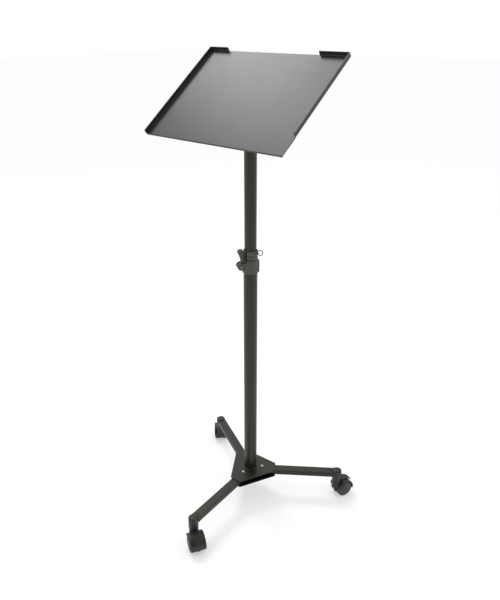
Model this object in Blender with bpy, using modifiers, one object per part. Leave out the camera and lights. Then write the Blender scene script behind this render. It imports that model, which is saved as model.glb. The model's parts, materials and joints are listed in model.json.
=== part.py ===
"""Presentation lectern: a tilting sheet-steel tray on a telescoping column, over a wheeled base.

The floor is at z = 0 and the tray's width runs along X, with its low edge towards -Y.
The column stands on the local origin of lectern_frame, and the last step moves that frame so that
the whole footprint is centred on the world origin.
"""

from math import asin, cos, pi, radians, sin, sqrt

import bmesh
import bpy
from mathutils import Matrix, Vector

GAP = 0.0003  # between pieces that touch on the real object
SLIDE_GAP = 0.0004  # between pieces that move on each other
ROUND_STEPS = 32
SMALL_STEPS = 16

# Column
LOWER_TUBE_RADIUS = 0.0175
LOWER_TUBE_WALL = 0.0012
LOWER_TUBE_LENGTH = 0.6205
UPPER_TUBE_RADIUS = 0.0150
UPPER_TUBE_WALL = 0.0015
UPPER_TUBE_LENGTH = 0.6120
UPPER_TUBE_INSERTED = 0.2760  # how much of it is inside the lower tube at rest
GLIDE_BUSH_LENGTH = 0.030
GLIDE_FLANGE_THICKNESS = 0.0015
MAST_BUSH_SPIGOT = 0.020
MAST_BUSH_FLANGE = 0.006
FOOT_PLUG_LENGTH = 0.030

# Clamp collar, heights counted from the collar's bottom edge
COLLAR_HEIGHT = 0.0585
COLLAR_GRIP = 0.0125  # how far the collar reaches down over the lower tube
COLLAR_EDGE = 0.0010  # the chamfers on its turned edges
SLEEVE_HEIGHT = 0.0339
SLEEVE_WALL = 0.0030  # outside the lower tube
RING_WALL = 0.0030  # outside the upper tube
SLOT_WIDTH = 0.0040
SLOT_IN_SLEEVE = 0.0060  # how far the slot runs down into the sleeve
SLOT_AZIMUTH = radians(-85)
RIB_WIDTH = 0.0080
RIB_DEPTH = 0.0015
RIB_INSET = 0.0018  # from the sleeve's two ends
RIB_AZIMUTH = radians(30)
LEVER_AZIMUTH = radians(-125)
LEVER_PIVOT_HEIGHT = 0.0176
LEVER_PIVOT_STANDOFF = 0.0050  # outside the sleeve
LEVER_WIDTH = 0.0134
CAM_RADIUS = 0.0070
CAM_CLEARANCE = 0.0005
LUG_RADIUS = 0.0090
LUG_THICKNESS = 0.0030
LUG_EMBED = 0.0035  # of the lugs in the sleeve's wall
LEVER_PIN_RADIUS = 0.0020
LEVER_PIN_HEAD_RADIUS = 0.0032
LEVER_PIN_HEAD = 0.0010
CLAMP_PAD_RADIUS = 0.0025
PIN_AZIMUTH = radians(13)
PIN_BELOW_TOP = 0.0090  # of the collar
PIN_RADIUS = 0.0020
PIN_BOSS_RADIUS = 0.0045
PIN_BOSS_RISE = 0.0006  # above the ring's outer face
PIN_HEAD_RADIUS = 0.0030
PIN_HEAD_LENGTH = 0.0010
PIN_EYE_RADIUS = 0.0027
PIN_EYE_THICKNESS = 0.0014
PIN_RING_RADIUS = 0.0065
PIN_RING_WIRE = 0.0010
PIN_RING_LEAN = radians(35)  # of the ring's centre above the pin's axis

# Hub
PLATE_THICKNESS = 0.0025
NOSE_DISTANCE = 0.0719  # from the column's axis to the short sides
NOSE_WIDTH = 0.0326
NOSE_CORNER = 0.0020
HUB_SCREW_DISTANCE = 0.0335
HUB_SCREW_RADIUS = 0.0025
HUB_SCREW_HEAD_RADIUS = 0.0046
HUB_SCREW_HEAD_HEIGHT = 0.0026
HEX_SOCKET = 0.0030  # across its flats
HEX_SOCKET_DEPTH = 0.0016
CLINCH_NUT_RADIUS = 0.0050
CLINCH_NUT_HEIGHT = 0.0032
SPACER_RADIUS = 0.0100
COLUMN_BOLT_RADIUS = 0.0050
COLUMN_BOLT_ACROSS_FLATS = 0.0170
COLUMN_BOLT_HEAD = 0.0064
COLUMN_BOLT_REACH = 0.0260  # into the foot plug
WASHER_RADIUS = 0.0120
WASHER_THICKNESS = 0.0020

# Legs
LEG_AZIMUTHS = (radians(36.2), radians(-86.4), radians(153.0))
LEG_REACH = 0.2500  # from the column's axis to the caster stems
LEG_WIDTH = 0.025
LEG_HEIGHT = 0.015
LEG_WALL = 0.0015
LEG_CORNER = 0.0020
LEG_INNER_END = 0.0145
SOCKET_OVERHANG = 0.0005  # on each side of the leg tube
SOCKET_DROP = 0.0165  # below the leg tube's underside
SOCKET_DOME = 0.0048  # above the leg tube's top
SOCKET_PLUG_LENGTH = 0.024
SNAP_PEG_RADIUS = 0.0022
SNAP_PEG_INSET = 0.0045  # from the leg tube's outer end
STEM_BUSH_WALL = 0.0018
STEM_BUSH_LENGTH = 0.0280

# Casters
TRAIL_AZIMUTHS = (radians(72.3), radians(-29.7), radians(132.3))
STEM_RADIUS = 0.0055
STEM_SEAT_DEPTH = 0.0130
WHEEL_RADIUS = 0.0240
WHEEL_WIDTH = 0.0166
WHEEL_SPACING = 0.0102  # between the inner faces
WHEEL_FACE_RADIUS = 0.0180
WHEEL_FACE_DOME = 0.0014
WHEEL_SHOULDER = 0.0052  # from the outer face to the full tread
WHEEL_EDGE = 0.0010
CASTER_TRAIL = 0.0210
HOOD_ROOM = 0.0034  # from the wheel's tread to the hood's outside
HOOD_WALL = 0.0023
HOOD_BOSS_RADIUS = 0.0110
HOOD_BOSS_HEIGHT = 0.0040  # above the hood's top
HOOD_INSET = 0.0004  # of the hood's sides from the wheels' outer faces
SKIRT_RISE = 0.0010  # of the hood's open side above the axle
SKIRT_FALL = radians(14)  # of that edge from the stem side to the trail side
SKIRT_LOW = 0.0130  # the hood's lowest edge above the floor
HOOD_CLEARANCE = 0.0008  # from the boss to the leg socket
AXLE_RADIUS = 0.0025
HUB_CAP = 0.0026  # what closes the wheel's bore on its outer face
PEDAL_WIDTH = 0.020
PEDAL_THICKNESS = 0.0020
PEDAL_HINGE_RADIUS = 0.0020
PEDAL_STANDOFF = 0.0020  # from the hood's boss to the pedal's hinge barrel
PEDAL_END_ANGLE = radians(62)
PEDAL_LIFT = 0.0030

# Tray and tilt head
TILT = radians(37)
PIVOT_ABOVE_TUBE = 0.0310
TONGUE_WIDTH = 0.0240
TONGUE_THICKNESS = 0.0140
HEAD_CAP_HEIGHT = 0.0040
HEAD_PLUG_LENGTH = 0.0300
TRAY_WIDTH = 0.3980
TRAY_DEPTH = 0.2850
TRAY_SHEET = 0.0015
TRAY_LIP = 0.0100
TRAY_FLANGE = 0.0015
TRAY_FOLD_RADIUS = 0.0015
LEFT_CORNER_LIP = 0.0560
RIGHT_CORNER_LIP = 0.0770
RIGHT_LIP_STOP = 0.0510
TRAY_SHIFT = -0.0115  # of the tray's centre along X from the pivot
TRAY_UPHILL = 0.0120  # of the tray's centre along its slope
TRAY_RISE = 0.0342  # of the tray's top surface from the pivot
BRACKET_WIDTH = 0.1200
BRACKET_DEPTH = 0.0700
BRACKET_THICKNESS = 0.0025
BRACKET_CORNER = 0.0080
CHEEK_WIDTH = 0.0560
CHEEK_END_RADIUS = 0.0120
STUD_SPACING_X = 0.0960
STUD_SPACING_Y = 0.0460
STUD_RADIUS = 0.0025
STUD_LENGTH = 0.0100
TRAY_NUT_ACROSS_FLATS = 0.0080
TRAY_NUT_HEIGHT = 0.0040
TILT_BOLT_RADIUS = 0.0040
TILT_BOLT_HEAD = 0.0050
TILT_BOLT_HEAD_RADIUS = 0.0082
TILT_BOLT_HEAD_ROUNDING = 0.0020
TILT_BOLT_IN_KNOB = 0.0165
FRICTION_WASHER_RADIUS = 0.0110
FRICTION_WASHER_THICKNESS = 0.0010
TILT_KNOB_RADIUS = 0.0180
TILT_KNOB_LENGTH = 0.0220
TILT_KNOB_LOBES = 6
TILT_KNOB_LOBE_DEPTH = 0.0036
TILT_KNOB_GRIP = 0.0132  # how much of its length is the lobed grip
TILT_KNOB_NECK_RADIUS = 0.0108

# Sizes and heights that follow from the values above, from the floor up
SLEEVE_RADIUS = LOWER_TUBE_RADIUS + SLEEVE_WALL
RING_RADIUS = UPPER_TUBE_RADIUS + RING_WALL
LEVER_PIVOT_REACH = SLEEVE_RADIUS + LEVER_PIVOT_STANDOFF
PIN_HEIGHT = COLLAR_HEIGHT - PIN_BELOW_TOP
SOCKET_RADIUS = LEG_WIDTH / 2 + SOCKET_OVERHANG
HOOD_RADIUS = WHEEL_RADIUS + HOOD_ROOM
PEDAL_HINGE_X = HOOD_BOSS_RADIUS + PEDAL_STANDOFF + PEDAL_HINGE_RADIUS
CASTER_TOP = WHEEL_RADIUS + HOOD_RADIUS + HOOD_BOSS_HEIGHT
SOCKET_BOTTOM = CASTER_TOP + HOOD_CLEARANCE
LEG_BOTTOM = SOCKET_BOTTOM + SOCKET_DROP
LEG_TOP = LEG_BOTTOM + LEG_HEIGHT
LEG_OUTER_END = LEG_REACH - SOCKET_RADIUS - 2 * GAP
HUB_TOP = LEG_TOP + GAP + PLATE_THICKNESS
HUB_BOTTOM = LEG_BOTTOM - GAP - PLATE_THICKNESS
LOWER_TUBE_BOTTOM = HUB_TOP + GAP
LOWER_TUBE_TOP = LOWER_TUBE_BOTTOM + LOWER_TUBE_LENGTH
LOWER_TUBE_BORE = LOWER_TUBE_RADIUS - LOWER_TUBE_WALL
UPPER_TUBE_BORE = UPPER_TUBE_RADIUS - UPPER_TUBE_WALL
UPPER_TUBE_BOTTOM = LOWER_TUBE_TOP - UPPER_TUBE_INSERTED
UPPER_TUBE_TOP = UPPER_TUBE_BOTTOM + UPPER_TUBE_LENGTH
COLLAR_BOTTOM = LOWER_TUBE_TOP - COLLAR_GRIP
PIVOT_HEIGHT = UPPER_TUBE_TOP + PIVOT_ABOVE_TUBE


def clear_scene():
    for thing in list(bpy.data.objects):
        bpy.data.objects.remove(thing, do_unlink=True)


clear_scene()
PARTS = bpy.data.collections.new("presentation_lectern")
CUTTERS = bpy.data.collections.new("cutters")
bpy.context.scene.collection.children.link(PARTS)
bpy.context.scene.collection.children.link(CUTTERS)


def make_material(name, colour, roughness, metallic):
    material = bpy.data.materials.new(name)
    material.use_nodes = True
    shader = material.node_tree.nodes["Principled BSDF"]
    shader.inputs["Base Color"].default_value = (*colour, 1.0)
    shader.inputs["Roughness"].default_value = roughness
    shader.inputs["Metallic"].default_value = metallic
    return material


BLACK_COAT = make_material("black_powder_coat", (0.032, 0.033, 0.029), 0.42, 0.0)
TRAY_COAT = make_material("satin_tray_coat", (0.040, 0.041, 0.038), 0.36, 0.0)
MOULDED = make_material("moulded_black_plastic", (0.030, 0.031, 0.029), 0.50, 0.0)
ZINC = make_material("zinc_plate", (0.62, 0.62, 0.60), 0.30, 1.0)
WHEEL_PLASTIC = make_material("wheel_nylon", (0.034, 0.035, 0.034), 0.48, 0.0)
ACETAL = make_material("white_acetal", (0.72, 0.71, 0.67), 0.45, 0.0)


def frame(name, parent, place=(0, 0, 0), turn=(0, 0, 0)):
    """An empty that other pieces hang on."""
    empty = bpy.data.objects.new(name, None)
    PARTS.objects.link(empty)
    empty.parent = parent
    empty.location = place
    empty.rotation_euler = turn
    return empty


def add_piece(name, mesh, parent, material, place=(0, 0, 0), turn=(0, 0, 0)):
    piece = bpy.data.objects.new(name, mesh)
    PARTS.objects.link(piece)
    piece.parent = parent
    piece.location = place
    piece.rotation_euler = turn
    mesh.materials.append(material)
    return piece


def add_cutter(name, mesh, parent, place=(0, 0, 0), turn=(0, 0, 0)):
    cutter = bpy.data.objects.new(name, mesh)
    CUTTERS.objects.link(cutter)
    cutter.parent = parent
    cutter.location = place
    cutter.rotation_euler = turn
    cutter.hide_render = True
    cutter.display_type = "WIRE"
    return cutter


def boolean(piece, other, operation):
    modifier = piece.modifiers.new(f"{operation.lower()} {other.name}", "BOOLEAN")
    modifier.operation = operation
    modifier.solver = "EXACT"
    modifier.object = other


def cut(piece, cutter):
    boolean(piece, cutter, "DIFFERENCE")


def weld_on(piece, addition):
    boolean(piece, addition, "UNION")


def shade_round(mesh):
    mesh.shade_smooth()
    mesh.set_sharp_from_angle(angle=radians(35))


def mesh_from(bm, name):
    mesh = bpy.data.meshes.new(name)
    bm.to_mesh(mesh)
    bm.free()
    shade_round(mesh)
    return mesh


def rod_mesh(name, radius, low, high, steps=SMALL_STEPS):
    """A solid cylinder on Z between two heights."""
    bm = bmesh.new()
    bmesh.ops.create_cone(
        bm, cap_ends=True, segments=steps, radius1=radius, radius2=radius, depth=high - low
    )
    bmesh.ops.translate(bm, verts=bm.verts, vec=(0, 0, (low + high) / 2))
    return mesh_from(bm, name)


def box_mesh(name, low, high):
    """A box between two opposite corners."""
    low, high = Vector(low), Vector(high)
    bm = bmesh.new()
    bmesh.ops.create_cube(bm, size=1.0)
    bmesh.ops.scale(bm, verts=bm.verts, vec=high - low)
    bmesh.ops.translate(bm, verts=bm.verts, vec=(low + high) / 2)
    return mesh_from(bm, name)


def turned_mesh(name, profile, closed, steps=ROUND_STEPS):
    """A profile of (radius, height) points, spun round Z. A closed profile makes a ring, and an
    open one starts and ends on the axis."""
    bm = bmesh.new()
    points = [bm.verts.new((radius, 0, height)) for radius, height in profile]
    for first, second in zip(points, points[1:]):
        bm.edges.new((first, second))
    if closed:
        bm.edges.new((points[-1], points[0]))
    mesh = bpy.data.meshes.new(name)
    bm.to_mesh(mesh)
    bm.free()
    maker = bpy.data.objects.new(f"{name}_profile", mesh)
    bpy.context.scene.collection.objects.link(maker)
    screw = maker.modifiers.new("turn", "SCREW")
    screw.steps = steps
    screw.render_steps = steps
    screw.use_merge_vertices = True
    screw.merge_threshold = 0.00001
    return baked(maker, name)


def baked(maker, name):
    """The evaluated mesh of a helper object, which is then removed."""
    bpy.context.view_layer.update()
    graph = bpy.context.evaluated_depsgraph_get()
    mesh = bpy.data.meshes.new_from_object(maker.evaluated_get(graph))
    mesh.name = name
    bpy.data.objects.remove(maker, do_unlink=True)
    bm = bmesh.new()
    bm.from_mesh(mesh)
    bmesh.ops.remove_doubles(bm, verts=bm.verts, dist=0.000001)
    bm.to_mesh(mesh)
    bm.free()
    shade_round(mesh)
    return mesh


def ring_mesh(name, inner, outer, low, high, steps=ROUND_STEPS):
    """A plain tube or washer on Z."""
    return turned_mesh(name, [(outer, high), (outer, low), (inner, low), (inner, high)], True, steps)


def plate_mesh(name, outlines, thickness):
    """Flat outlines, the first with the others as holes, raised to both sides of z = 0."""
    curve = bpy.data.curves.new(name, "CURVE")
    curve.dimensions = "2D"
    curve.fill_mode = "BOTH"
    curve.extrude = thickness / 2
    for outline in outlines:
        spline = curve.splines.new("POLY")
        spline.points.add(len(outline) - 1)
        for point, (x, y) in zip(spline.points, outline):
            point.co = (x, y, 0, 1)
        spline.use_cyclic_u = True
    maker = bpy.data.objects.new(f"{name}_outline", curve)
    bpy.context.scene.collection.objects.link(maker)
    return baked(maker, name)


def bar_mesh(name, outlines, length):
    """The same, raised along X: an outline's x becomes Y and its y becomes Z."""
    mesh = plate_mesh(name, outlines, length)
    mesh.transform(Matrix.Rotation(pi / 2, 4, "Z") @ Matrix.Rotation(pi / 2, 4, "X"))
    return mesh


def circle(radius, steps=SMALL_STEPS, centre=(0, 0)):
    return arc(radius, 0, 2 * pi * (1 - 1 / steps), steps - 1, centre)


def arc(radius, start, end, steps, centre=(0, 0)):
    """Points from one angle to another, both ends included."""
    angles = [start + (end - start) * step / steps for step in range(steps + 1)]
    return [(centre[0] + radius * cos(angle), centre[1] + radius * sin(angle)) for angle in angles]


def rounded_rectangle(width, height, radius, steps=2):
    points = []
    for quarter, (side_x, side_y) in enumerate(((1, 1), (-1, 1), (-1, -1), (1, -1))):
        centre = (side_x * (width / 2 - radius), side_y * (height / 2 - radius))
        start = quarter * pi / 2
        points += arc(radius, start, start + pi / 2, steps, centre)
    return points


def hexagon(across_flats):
    return circle(across_flats / sqrt(3), 6)


# ---------------------------------------------------------------- hub


def hub_outline():
    """A triangle with cut-off noses, one square to each leg."""
    corners = []
    for azimuth in sorted(LEG_AZIMUTHS):
        forward = Vector((cos(azimuth), sin(azimuth)))
        sideways = Vector((-sin(azimuth), cos(azimuth)))
        for side in (-1, 1):
            corners.append(tuple(forward * NOSE_DISTANCE + sideways * side * NOSE_WIDTH / 2))
    return corners


def hub_plate(name, parent, middle):
    mesh = plate_mesh(name, [hub_outline()], PLATE_THICKNESS)
    bm = bmesh.new()
    bm.from_mesh(mesh)
    upright = [edge for edge in bm.edges if edge.verts[0].co.z * edge.verts[1].co.z < 0]
    bmesh.ops.bevel(
        bm, geom=upright, offset=NOSE_CORNER, segments=2, profile=0.5, affect="EDGES", material=-1
    )
    bm.to_mesh(mesh)
    bm.free()
    plate = add_piece(name, mesh, parent, BLACK_COAT, (0, 0, middle))
    low, high = middle - PLATE_THICKNESS, middle + PLATE_THICKNESS
    centre_hole = rod_mesh(f"{name}_centre_hole", COLUMN_BOLT_RADIUS + GAP, low, high)
    cut(plate, add_cutter(f"{name}_centre_hole", centre_hole, parent))
    return plate


def build_hub(root, leg_frames):
    top = hub_plate("hub_top_plate", root, HUB_TOP - PLATE_THICKNESS / 2)
    bottom = hub_plate("hub_bottom_plate", root, HUB_BOTTOM + PLATE_THICKNESS / 2)
    nut_low = HUB_BOTTOM - CLINCH_NUT_HEIGHT
    for number, leg in enumerate(leg_frames, 1):
        place = (HUB_SCREW_DISTANCE, 0, 0)
        nut_high = HUB_BOTTOM + PLATE_THICKNESS / 2
        nut = rod_mesh(f"clinch_nut_{number}", CLINCH_NUT_RADIUS, nut_low, nut_high)
        weld_on(bottom, add_cutter(f"clinch_nut_{number}", nut, leg, place))
        hole_low, hole_high = nut_low - PLATE_THICKNESS, HUB_TOP + PLATE_THICKNESS
        hole = rod_mesh(f"hub_screw_hole_{number}", HUB_SCREW_RADIUS + GAP, hole_low, hole_high)
        hole_cutter = add_cutter(f"hub_screw_hole_{number}", hole, leg, place)
        cut(top, hole_cutter)
        cut(bottom, hole_cutter)
        hub_screw(number, leg, place, nut_low)
    spacer = ring_mesh("hub_spacer", COLUMN_BOLT_RADIUS + GAP, SPACER_RADIUS, LEG_BOTTOM, LEG_TOP, 24)
    add_piece("hub_spacer", spacer, root, ZINC)


def hub_screw(number, leg, place, shank_low):
    seat = HUB_TOP + GAP
    head_steps = 4
    profile = [(0, seat + HUB_SCREW_HEAD_HEIGHT)]
    for step in range(1, head_steps + 1):
        angle = pi / 2 * step / head_steps
        profile.append((HUB_SCREW_HEAD_RADIUS * sin(angle), seat + HUB_SCREW_HEAD_HEIGHT * cos(angle)))
    profile += [(HUB_SCREW_RADIUS, seat), (HUB_SCREW_RADIUS, shank_low), (0, shank_low)]
    name = f"hub_screw_{number}"
    screw = add_piece(name, turned_mesh(name, profile, False, SMALL_STEPS), leg, ZINC, place)
    socket = plate_mesh(f"hex_socket_{number}", [hexagon(HEX_SOCKET)], 2 * HEX_SOCKET_DEPTH)
    top = seat + HUB_SCREW_HEAD_HEIGHT
    cut(screw, add_cutter(f"hex_socket_{number}", socket, leg, (place[0], place[1], top)))


def build_column_fixing(root):
    plug = ring_mesh(
        "column_foot",
        COLUMN_BOLT_RADIUS + GAP,
        LOWER_TUBE_BORE - GAP,
        LOWER_TUBE_BOTTOM,
        LOWER_TUBE_BOTTOM + FOOT_PLUG_LENGTH,
    )
    add_piece("column_foot", plug, root, ZINC)
    washer_top = HUB_BOTTOM - GAP
    washer_low = washer_top - WASHER_THICKNESS
    washer = ring_mesh("column_washer", COLUMN_BOLT_RADIUS + GAP, WASHER_RADIUS, washer_low, washer_top, 24)
    add_piece("column_washer", washer, root, ZINC)
    head_top = washer_low - GAP
    shank_top = LOWER_TUBE_BOTTOM + COLUMN_BOLT_REACH
    head = plate_mesh("column_bolt", [hexagon(COLUMN_BOLT_ACROSS_FLATS)], COLUMN_BOLT_HEAD)
    bolt = add_piece("column_bolt", head, root, ZINC, (0, 0, head_top - COLUMN_BOLT_HEAD / 2))
    shank = rod_mesh("column_bolt_shank", COLUMN_BOLT_RADIUS, head_top - COLUMN_BOLT_HEAD / 2, shank_top)
    weld_on(bolt, add_cutter("column_bolt_shank", shank, root))


# ---------------------------------------------------------------- legs


def build_leg(number, leg):
    """Local x runs along the leg, away from the column."""
    length = LEG_OUTER_END - LEG_INNER_END
    middle_height = (LEG_TOP + LEG_BOTTOM) / 2
    outer = rounded_rectangle(LEG_WIDTH, LEG_HEIGHT, LEG_CORNER)
    inner = leg_bore_outline(0)
    mesh = bar_mesh(f"leg_tube_{number}", [outer, inner], length)
    tube = add_piece(
        f"leg_tube_{number}", mesh, leg, BLACK_COAT, (LEG_INNER_END + length / 2, 0, middle_height)
    )
    low, high = LEG_BOTTOM - LEG_WALL, LEG_TOP + LEG_WALL
    hole = rod_mesh(f"leg_hole_{number}", HUB_SCREW_RADIUS + GAP, low, high)
    cut(tube, add_cutter(f"leg_hole_{number}", hole, leg, (HUB_SCREW_DISTANCE, 0, 0)))
    peg_place = (LEG_OUTER_END - SNAP_PEG_INSET, 0, 0)
    peg_hole = rod_mesh(f"peg_hole_{number}", SNAP_PEG_RADIUS + GAP, middle_height, high)
    cut(tube, add_cutter(f"peg_hole_{number}", peg_hole, leg, peg_place))
    build_socket(number, leg, peg_place, middle_height)


def leg_bore_outline(clearance):
    width = LEG_WIDTH - 2 * LEG_WALL - 2 * clearance
    height = LEG_HEIGHT - 2 * LEG_WALL - 2 * clearance
    return rounded_rectangle(width, height, LEG_CORNER - LEG_WALL / 2, 1)


def build_socket(number, leg, peg_place, middle_height):
    """The moulded leg end: a domed pot for the caster stem, with a plug that fills the tube's end."""
    dome_steps = 4
    fullness = 0.8  # a power under 1 makes the dome flatter on top and rounder at its rim
    profile = [(0, LEG_TOP + SOCKET_DOME)]
    for step in range(1, dome_steps + 1):
        angle = pi / 2 * step / dome_steps
        profile.append((SOCKET_RADIUS * sin(angle) ** fullness, LEG_TOP + SOCKET_DOME * cos(angle)))
    profile += [(SOCKET_RADIUS, SOCKET_BOTTOM), (0, SOCKET_BOTTOM)]
    place = (LEG_REACH, 0, 0)
    name = f"leg_socket_{number}"
    pot = add_piece(name, turned_mesh(name, profile, False, 24), leg, MOULDED, place)

    neck_start = LEG_OUTER_END + GAP
    neck_low = (neck_start, -LEG_WIDTH / 2, LEG_BOTTOM)
    neck_high = (LEG_REACH, LEG_WIDTH / 2, LEG_TOP)
    weld_on(pot, add_cutter(f"{name}_neck", box_mesh(f"{name}_neck", neck_low, neck_high), leg))

    plug_start = LEG_OUTER_END - SOCKET_PLUG_LENGTH
    plug_end = LEG_REACH - SOCKET_RADIUS / 2
    plug = bar_mesh(f"{name}_plug", [leg_bore_outline(GAP)], plug_end - plug_start)
    plug_place = ((plug_start + plug_end) / 2, 0, middle_height)
    weld_on(pot, add_cutter(f"{name}_plug", plug, leg, plug_place))

    peg = rod_mesh(f"{name}_peg", SNAP_PEG_RADIUS, middle_height, LEG_TOP - LEG_WALL / 2, 12)
    weld_on(pot, add_cutter(f"{name}_peg", peg, leg, peg_place))

    bush_outer = STEM_RADIUS + SLIDE_GAP + STEM_BUSH_WALL
    bore_top = SOCKET_BOTTOM + STEM_BUSH_LENGTH + 2 * GAP
    bore = rod_mesh(f"{name}_bore", bush_outer + GAP, SOCKET_BOTTOM - STEM_BUSH_WALL, bore_top, 24)
    cut(pot, add_cutter(f"{name}_bore", bore, leg, place))

    bush = ring_mesh(
        f"stem_bush_{number}",
        STEM_RADIUS + SLIDE_GAP,
        bush_outer,
        SOCKET_BOTTOM + GAP,
        SOCKET_BOTTOM + GAP + STEM_BUSH_LENGTH,
        20,
    )
    add_piece(f"stem_bush_{number}", bush, leg, ACETAL, place)


# ---------------------------------------------------------------- casters


def build_caster(number, swivel):
    """Local x is the trail direction from the stem, y the axle, z up from the floor."""
    hood = caster_hood(number, swivel)
    stem_low = CASTER_TOP - STEM_SEAT_DEPTH
    stem_high = SOCKET_BOTTOM + STEM_BUSH_LENGTH - HOOD_CLEARANCE
    stem = rod_mesh(f"caster_stem_{number}", STEM_RADIUS, stem_low, stem_high, 20)
    add_piece(f"caster_stem_{number}", stem, swivel, ZINC)
    seat = rod_mesh(f"stem_seat_{number}", STEM_RADIUS + GAP, stem_low - GAP, CASTER_TOP + HOOD_WALL, 20)
    cut(hood, add_cutter(f"stem_seat_{number}", seat, swivel))

    sideways = (pi / 2, 0, 0)
    axle_place = (CASTER_TRAIL, 0, WHEEL_RADIUS)
    reach = WHEEL_SPACING / 2 + WHEEL_WIDTH - HUB_CAP - GAP
    axle = rod_mesh(f"caster_axle_{number}", AXLE_RADIUS, -reach, reach, 12)
    add_piece(f"caster_axle_{number}", axle, swivel, ZINC, axle_place, sideways)
    axle_hole = rod_mesh(f"axle_hole_{number}", AXLE_RADIUS + GAP, -WHEEL_SPACING, WHEEL_SPACING, 12)
    cut(hood, add_cutter(f"axle_hole_{number}", axle_hole, swivel, axle_place, sideways))

    for side, turn in (("left", (-pi / 2, 0, 0)), ("right", (pi / 2, 0, 0))):
        name = f"caster_wheel_{side}_{number}"
        add_piece(name, wheel_mesh(name), swivel, WHEEL_PLASTIC, axle_place, turn)
    build_pedal(number, swivel)


def wheel_mesh(name):
    """A wheel on Z with its inner face at half the spacing and its outer face domed."""
    inner = WHEEL_SPACING / 2
    outer = inner + WHEEL_WIDTH
    bore = AXLE_RADIUS + GAP
    bore_end = outer - HUB_CAP
    profile = [
        (0, outer),
        (WHEEL_FACE_RADIUS, outer - WHEEL_FACE_DOME / 2),
        (WHEEL_RADIUS - WHEEL_FACE_DOME / 2, outer - 2 * WHEEL_FACE_DOME),
        (WHEEL_RADIUS, outer - WHEEL_SHOULDER),
        (WHEEL_RADIUS, inner + WHEEL_EDGE),
        (WHEEL_RADIUS - WHEEL_EDGE, inner),
        (bore, inner),
        (bore, bore_end),
        (0, bore_end),
    ]
    return turned_mesh(name, profile, False, 24)


def caster_hood(number, swivel):
    """A fender over both wheels on a middle web, with a boss for the stem."""
    name = f"caster_hood_{number}"
    sideways = (pi / 2, 0, 0)
    axle_place = (CASTER_TRAIL, 0, WHEEL_RADIUS)
    half_width = WHEEL_SPACING / 2 + WHEEL_WIDTH - HOOD_INSET
    drum = rod_mesh(name, HOOD_RADIUS, -half_width, half_width, 36)
    hood = add_piece(name, drum, swivel, MOULDED, axle_place, sideways)
    boss = rod_mesh(f"{name}_boss", HOOD_BOSS_RADIUS, WHEEL_RADIUS, CASTER_TOP, 24)
    weld_on(hood, add_cutter(f"{name}_boss", boss, swivel))

    reach = 2 * HOOD_RADIUS
    web_half = WHEEL_SPACING / 2 - SLIDE_GAP
    well_radius = HOOD_RADIUS - HOOD_WALL
    far = half_width + HOOD_WALL
    for side in (-1, 1):
        tag = "left" if side < 0 else "right"
        near_face, far_face = sorted((side * web_half, side * far))
        well = rod_mesh(f"{name}_well_{tag}", well_radius, near_face, far_face, 36)
        cut(hood, add_cutter(f"{name}_well_{tag}", well, swivel, axle_place, sideways))
        # What is left under a line that falls from the stem side to the trail side is open.
        skirt = box_mesh(f"{name}_skirt_{tag}", (-reach, near_face, -reach), (reach, far_face, 0))
        skirt_place = (CASTER_TRAIL, 0, WHEEL_RADIUS + SKIRT_RISE)
        cut(hood, add_cutter(f"{name}_skirt_{tag}", skirt, swivel, skirt_place, (0, SKIRT_FALL, 0)))
    floor_cut = box_mesh(f"{name}_underside", (-reach, -reach, -reach), (reach, reach, SKIRT_LOW))
    cut(hood, add_cutter(f"{name}_underside", floor_cut, swivel))
    return hood


def pedal_hinge():
    """Where the brake pedal turns: just above the hood's top, behind the stem's boss."""
    x = PEDAL_HINGE_X
    reach = HOOD_RADIUS + GAP + PEDAL_HINGE_RADIUS
    return x, WHEEL_RADIUS + sqrt(reach**2 - (x - CASTER_TRAIL) ** 2)


def build_pedal(number, swivel):
    """A curved plate that starts at a barrel on its hinge and stands off the hood towards its tail."""
    hinge_x, hinge_z = pedal_hinge()
    start_angle = asin((hinge_x - CASTER_TRAIL) / (HOOD_RADIUS + GAP + PEDAL_HINGE_RADIUS))
    steps = 8
    inner = []
    outer = []
    for step in range(steps + 1):
        share = step / steps
        angle = start_angle + (PEDAL_END_ANGLE - start_angle) * share
        radius = HOOD_RADIUS + 2 * GAP + PEDAL_LIFT * share
        inner.append((radius * sin(angle), radius * cos(angle)))
        outer.append(((radius + PEDAL_THICKNESS) * sin(angle), (radius + PEDAL_THICKNESS) * cos(angle)))
    outline = [
        (CASTER_TRAIL + x - hinge_x, WHEEL_RADIUS + z - hinge_z) for x, z in inner + outer[::-1]
    ]
    name = f"caster_pedal_{number}"
    turn = (pi / 2, 0, 0)
    place = (hinge_x, 0, hinge_z)
    pedal = add_piece(name, plate_mesh(name, [outline], PEDAL_WIDTH), swivel, MOULDED, place, turn)
    barrel = rod_mesh(f"{name}_barrel", PEDAL_HINGE_RADIUS, -PEDAL_WIDTH / 2, PEDAL_WIDTH / 2, 12)
    weld_on(pedal, add_cutter(f"{name}_barrel", barrel, swivel, place, turn))


# ---------------------------------------------------------------- column


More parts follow.
